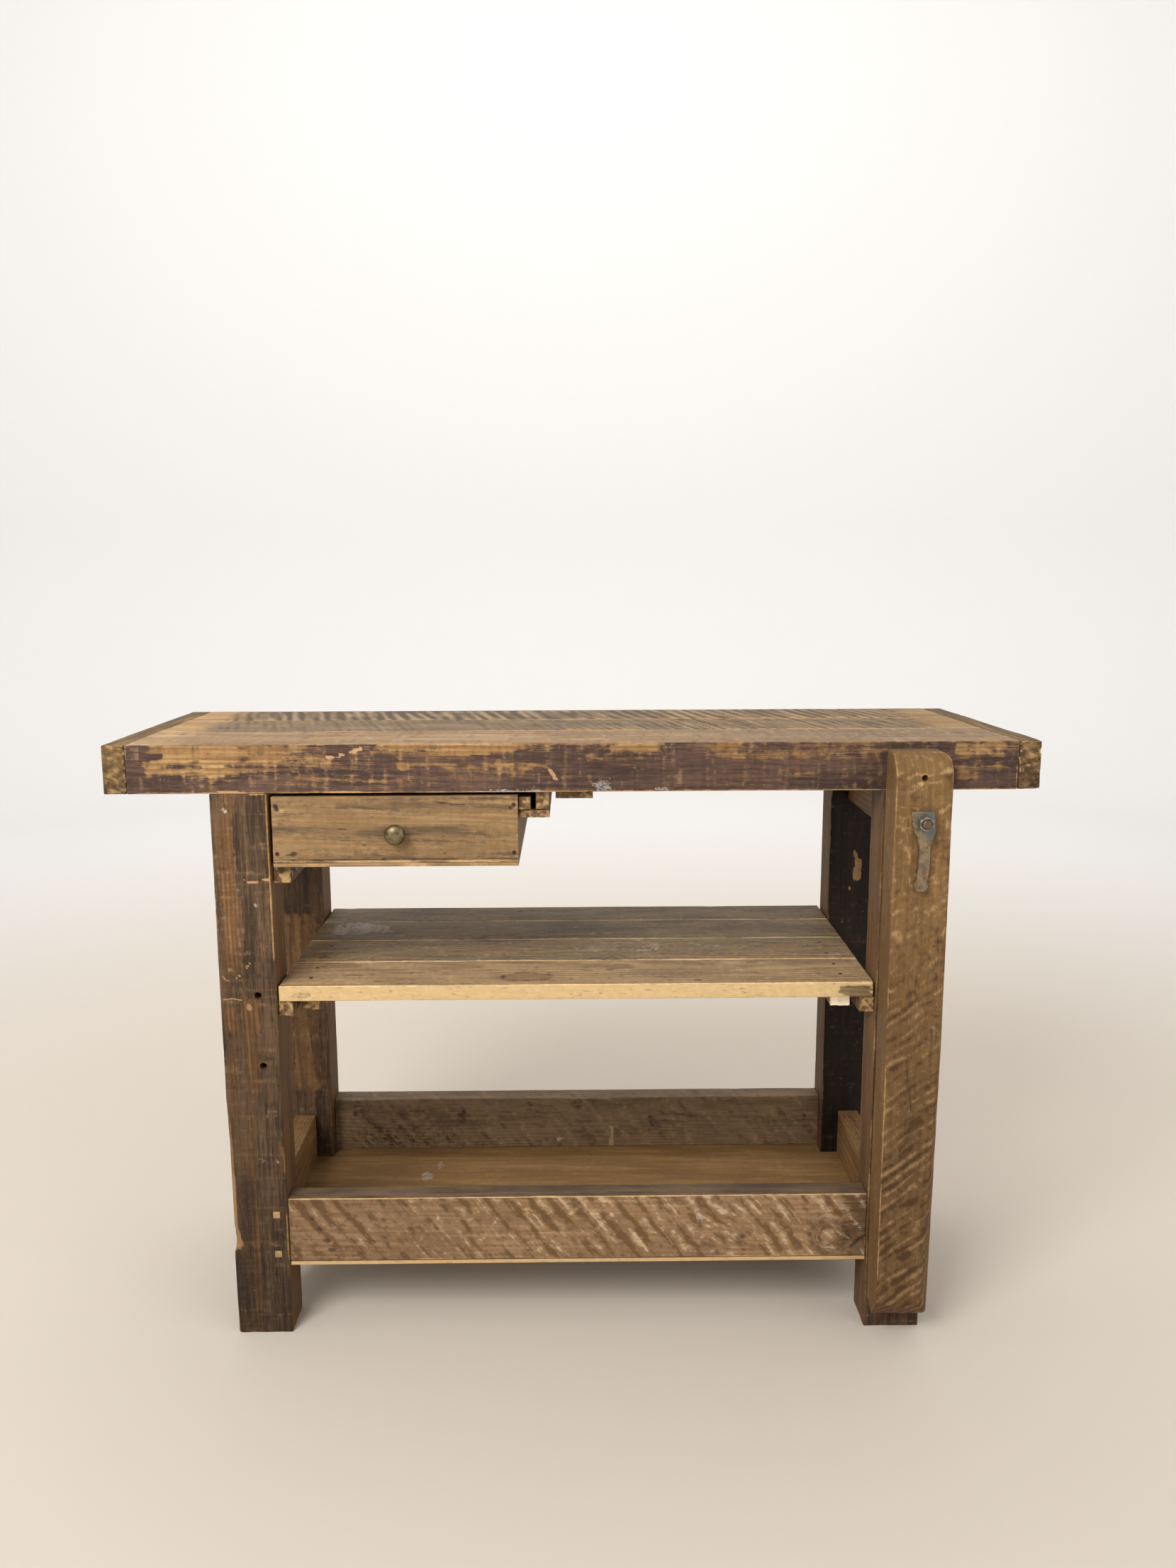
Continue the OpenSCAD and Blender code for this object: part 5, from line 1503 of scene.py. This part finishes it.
def cross_recess(size, deep, radius, rest):
    """A cross-shaped recess in a screw's head; rest(turn, t, r) bends the other rows."""
    def wobble(turn, t, r):
        return r * (1 + size * np.cos(4 * turn)) if deep(t) and r <= radius else rest(turn, t, r)
    return wobble


def stud():
    """Fine thread under the lever's nut, coarse thread in the leg and plain in between."""
    lo, hi = (corner[1] for corner in box("vise_stud"))
    thick_from = box("vise_washer")[1][1]
    fine = thread(1.75, 0.7, lo, thick_from - 6)
    coarse = thread(4.0, 1.1, JAW[1][1], 70)
    profile = [(lo, 0.5), (lo, 5.2), (lo + 1.2, 6.4)]
    profile += [(y, 6.4) for y in np.arange(lo + 1.6, thick_from - 0.2, 0.5)]
    profile += [(thick_from, 6.4), (thick_from, 7.4), (thick_from + 0.6, 8)]
    profile += [(y, 8) for y in np.arange(thick_from + 1, hi - 2, 0.5)]
    profile += [(hi - 1.5, 8), (hi, 6.6), (hi, 0.5)]
    turned("vise_stud", STUD, profile, 48,
           lambda turn, y, r: (fine if y < thick_from else coarse)(turn, y, r))


def lever_nut():
    lo, hi = box("vise_lever_nut")
    y0, y1, flats = lo[1], hi[1], hi[2] - lo[2]
    profile = [(y0, 7.4), (y0, flats / 2 - 0.3), (y0 + 0.7, flats / 2 + 0.5), (y0 + 1.4, flats * 0.58),
               (y1 - 1.4, flats * 0.58), (y1 - 0.7, flats / 2 + 0.5), (y1, flats / 2 - 0.3),
               (y1, 7.4), (y1 - 0.8, 6.45), (y0 + 0.8, 6.45)]
    turned("vise_lever_nut", NUT_STEEL, profile, 96, hexagon(flats), True)


def knob():
    """A domed knob on a waisted foot, slightly dented."""
    lo, hi = box("drawer_knob")
    y0, r = lo[1], (hi[0] - lo[0]) / 2
    profile = [(y0 + 9 * (1 - math.sin(a)), max(0.3, r * math.cos(a)))
               for a in np.linspace(math.pi / 2, 0, 16)]
    profile += [(y0 + 9.7, r - 0.3), (y0 + 10.4, r - 1.2), (-11.6, 9.5), (-10.5, 7), (-8, 5.0),
                (-4, 5.5), (-2.2, 7.6), (-1.8, 8), (-0.3, 8), (0, 7.7), (0, 0.5)]

    def dented(turn, y, radius):
        p = np.stack([radius * np.cos(turn), np.full_like(turn, y), radius * np.sin(turn)], 1)
        return radius * (1 - 0.012 * (1 + noise(p, (5, 5, 5), 150)))

    turned("drawer_knob", BRASS, profile, wobble=dented)


def guide_pin():
    lo, hi = box("vise_guide_pin")
    length, r = hi[0] - lo[0], (hi[2] - lo[2]) / 2
    points, faces = lathe([(0, 0.5), (0, r - 0.8), (0.8, r), (length - 0.8, r), (length, r - 0.8),
                           (length, 0.5)], 32)
    points = aimed(points, (lo[0], *(lo + hi)[1:] / 2), (1, 0, 0))
    place(make_mesh("vise_guide_pin_turned", points, faces), "vise_guide_pin", IRON)


def knob_screw():
    """The screw that holds the knob from inside the drawer, with its head behind."""
    lo, hi = box("drawer_knob_screw")
    y0, y1, head = lo[1], hi[1], (hi[0] - lo[0]) / 2
    profile = [(y0, 0.3), (y0, head / 2 - 0.4), (y0 + 0.5, head / 2)]
    profile += [(y, head / 2) for y in np.arange(y0 + 0.8, y1 - 2.6, 0.4)]
    profile += [(y1 - 2.5, head / 2), (y1 - 2.5, head - 0.3), (y1 - 2.2, head), (y1 - 1.2, head - 0.3),
                (y1 - 0.3, head - 1.6), (y1, 1.4), (y1 - 1.2, 0.9), (y1 - 1.5, 0.2)]
    turned("drawer_knob_screw", STEEL, profile, 32,
           cross_recess(0.4, lambda y: y > y1 - 2.1, 1.499, thread(1.0, 0.3, y0, y1 - 8)))


stud()
lever_nut()
washer("vise_washer", STEEL, 14, 6.5, 0.5)
washer("vise_collar", IRON, 13, 8.05, 0.7)
knob()
guide_pin()


def wood_screw(length, r):
    """A countersunk wood screw with a cross recess, from its head to its point."""
    rows = [(1.7, 0.15), (1.5, 0.8), (0.12, 1.0), (0, 1.25), (0, 2 * r - 0.25), (0.25, 2 * r), (r, r)]
    rows += [(t, r) for t in np.arange(r + 0.6, length - 2 * r, 0.6)]
    rows += [(length - 2 * r, r), (length - 0.3, 0.5), (length, 0.1)]
    cut = thread(2.4, 0.28 * r, r + 8, length - 2)
    return lathe(rows, 16, cross_recess(0.45, lambda t: t < 2, 1.25, cut))


def nail(length, r):
    """A wire nail with a slightly domed, hammered head."""
    return lathe([(0.25, 0.3), (0.08, 1.4 * r), (0.1, 2.0 * r), (0.3, 2.38 * r), (0.9, 2.4 * r),
                  (1.2, 1.6 * r), (1.6, r), (length - 3, r), (length - 0.6, 0.45), (length, 0.1)], 16)


def fasteners(node, material, make, head_ratio):
    """All the screws or nails of a CAD node in one piece, each where its CAD solid is."""
    parts = []
    for i, part in enumerate(loose_parts(node)):
        lo, hi = part.min(0), part.max(0)
        k = int(np.argmax(hi - lo))
        middle = (lo + hi) / 2
        across = np.delete(part - middle, k, axis=1)
        wide = np.argmax(np.hypot(*across.T))
        sign = 1 if part[wide, k] < middle[k] else -1
        start = middle.copy()
        start[k] = lo[k] if sign > 0 else hi[k]
        head = np.delete(hi - lo, k).max() / 2
        p, faces = make((hi - lo)[k], head / head_ratio)
        c, s = math.cos(0.7 * i), math.sin(0.7 * i)
        p = np.stack([c * p[:, 0] - s * p[:, 2], p[:, 1], s * p[:, 0] + c * p[:, 2]], 1)
        parts.append((aimed(p, start, sign * np.eye(3)[k]), faces))
    place(make_mesh(node + "_set", *joined(parts)), node, material)


for node in ("tray_nails", "shelf_nails", "drawer_nails"):
    fasteners(node, NAIL, nail, 2.4)
for node in ("ledger_screws", "runner_screws", "batten_screws", "nut_plate_screws"):
    fasteners(node, STEEL, wood_screw, 2)
knob_screw()

# ---- Floor, light and camera ----


def studio():
    """A pale floor that curves up far behind, soft light from above and the front left."""
    profile = [(0.0, 0.0), (4.4, 0.0)]
    profile += [(4.4 + 1.4 * math.sin(a), 1.4 - 1.4 * math.cos(a))
                for a in np.linspace(0.1, math.pi / 2, 14)] + [(5.8, 6.0)]
    sides = 96
    points = [(0, 0, 0)] + [(r * math.cos(2 * math.pi * k / sides),
                            r * math.sin(2 * math.pi * k / sides), z)
                           for r, z in profile[1:] for k in range(sides)]
    faces = [(0, 1 + k, 1 + (k + 1) % sides) for k in range(sides)]
    for i in range(len(profile) - 2):
        for k in range(sides):
            a, b = 1 + i * sides + k, 1 + i * sides + (k + 1) % sides
            faces.append((a, a + sides, b + sides, b))
    mesh = bpy.data.meshes.new("floor")
    mesh.from_pydata(points, [], faces)
    mesh.shade_smooth()
    floor = bpy.data.objects.new("floor", mesh)
    bpy.context.scene.collection.objects.link(floor)
    n = Nodes("pale_floor")
    x, y, _ = n.split(n.make("TexCoord", {}, "Object"))
    far = n.math("SQRT", x * x + y * y)
    colour = n.mix(n.smooth(far, 1.0, 4.2), "#cfc5b8", "#e4e3e2")
    mesh.materials.append(n.finish(base_color=colour, roughness=0.9))

    world = bpy.data.worlds.new("studio")
    world.use_nodes = True
    world.node_tree.nodes["Background"].inputs[0].default_value = (1.0, 0.97, 0.93, 1)
    world.node_tree.nodes["Background"].inputs[1].default_value = 0.75
    bpy.context.scene.world = world
    for name, at, to, size, power in (("key", (-1.7, -2.9, 3.0), (0, 0, 0.5), 1.8, 135),
                                      ("fill", (2.6, -2.4, 1.5), (0, 0, 0.5), 2.0, 22),
                                      ("wall_wash", (0, 2.2, 4.6), (0, 5.6, 1.2), 3.0, 95)):
        light = bpy.data.lights.new(name, "AREA")
        light.size = size
        light.energy = power
        obj = bpy.data.objects.new(name, light)
        obj.location = at
        aim = Vector(to) - Vector(at)
        obj.rotation_euler = aim.to_track_quat("-Z", "Y").to_euler()
        bpy.context.scene.collection.objects.link(obj)


def camera():
    """The photograph's viewing angle: from a standing height, a little left of the middle."""
    data = bpy.data.cameras.new("camera")
    data.lens = 28.07
    data.sensor_width = 36.0
    cam = bpy.data.objects.new("camera", data)
    cam.location = (0.0005, -1.8383, 1.1184)
    pitch, yaw, roll = (math.radians(a) for a in (9.769, 0.659, -0.213))
    cam.matrix_world = (Matrix.Translation(cam.location) @ Matrix.Rotation(-yaw, 4, "Z")
                        @ Matrix.Rotation(math.pi / 2 - pitch, 4, "X") @ Matrix.Rotation(roll, 4, "Z"))
    bpy.context.scene.collection.objects.link(cam)
    bpy.context.scene.camera = cam


studio()
camera()
bpy.context.scene.view_settings.view_transform = "Standard"
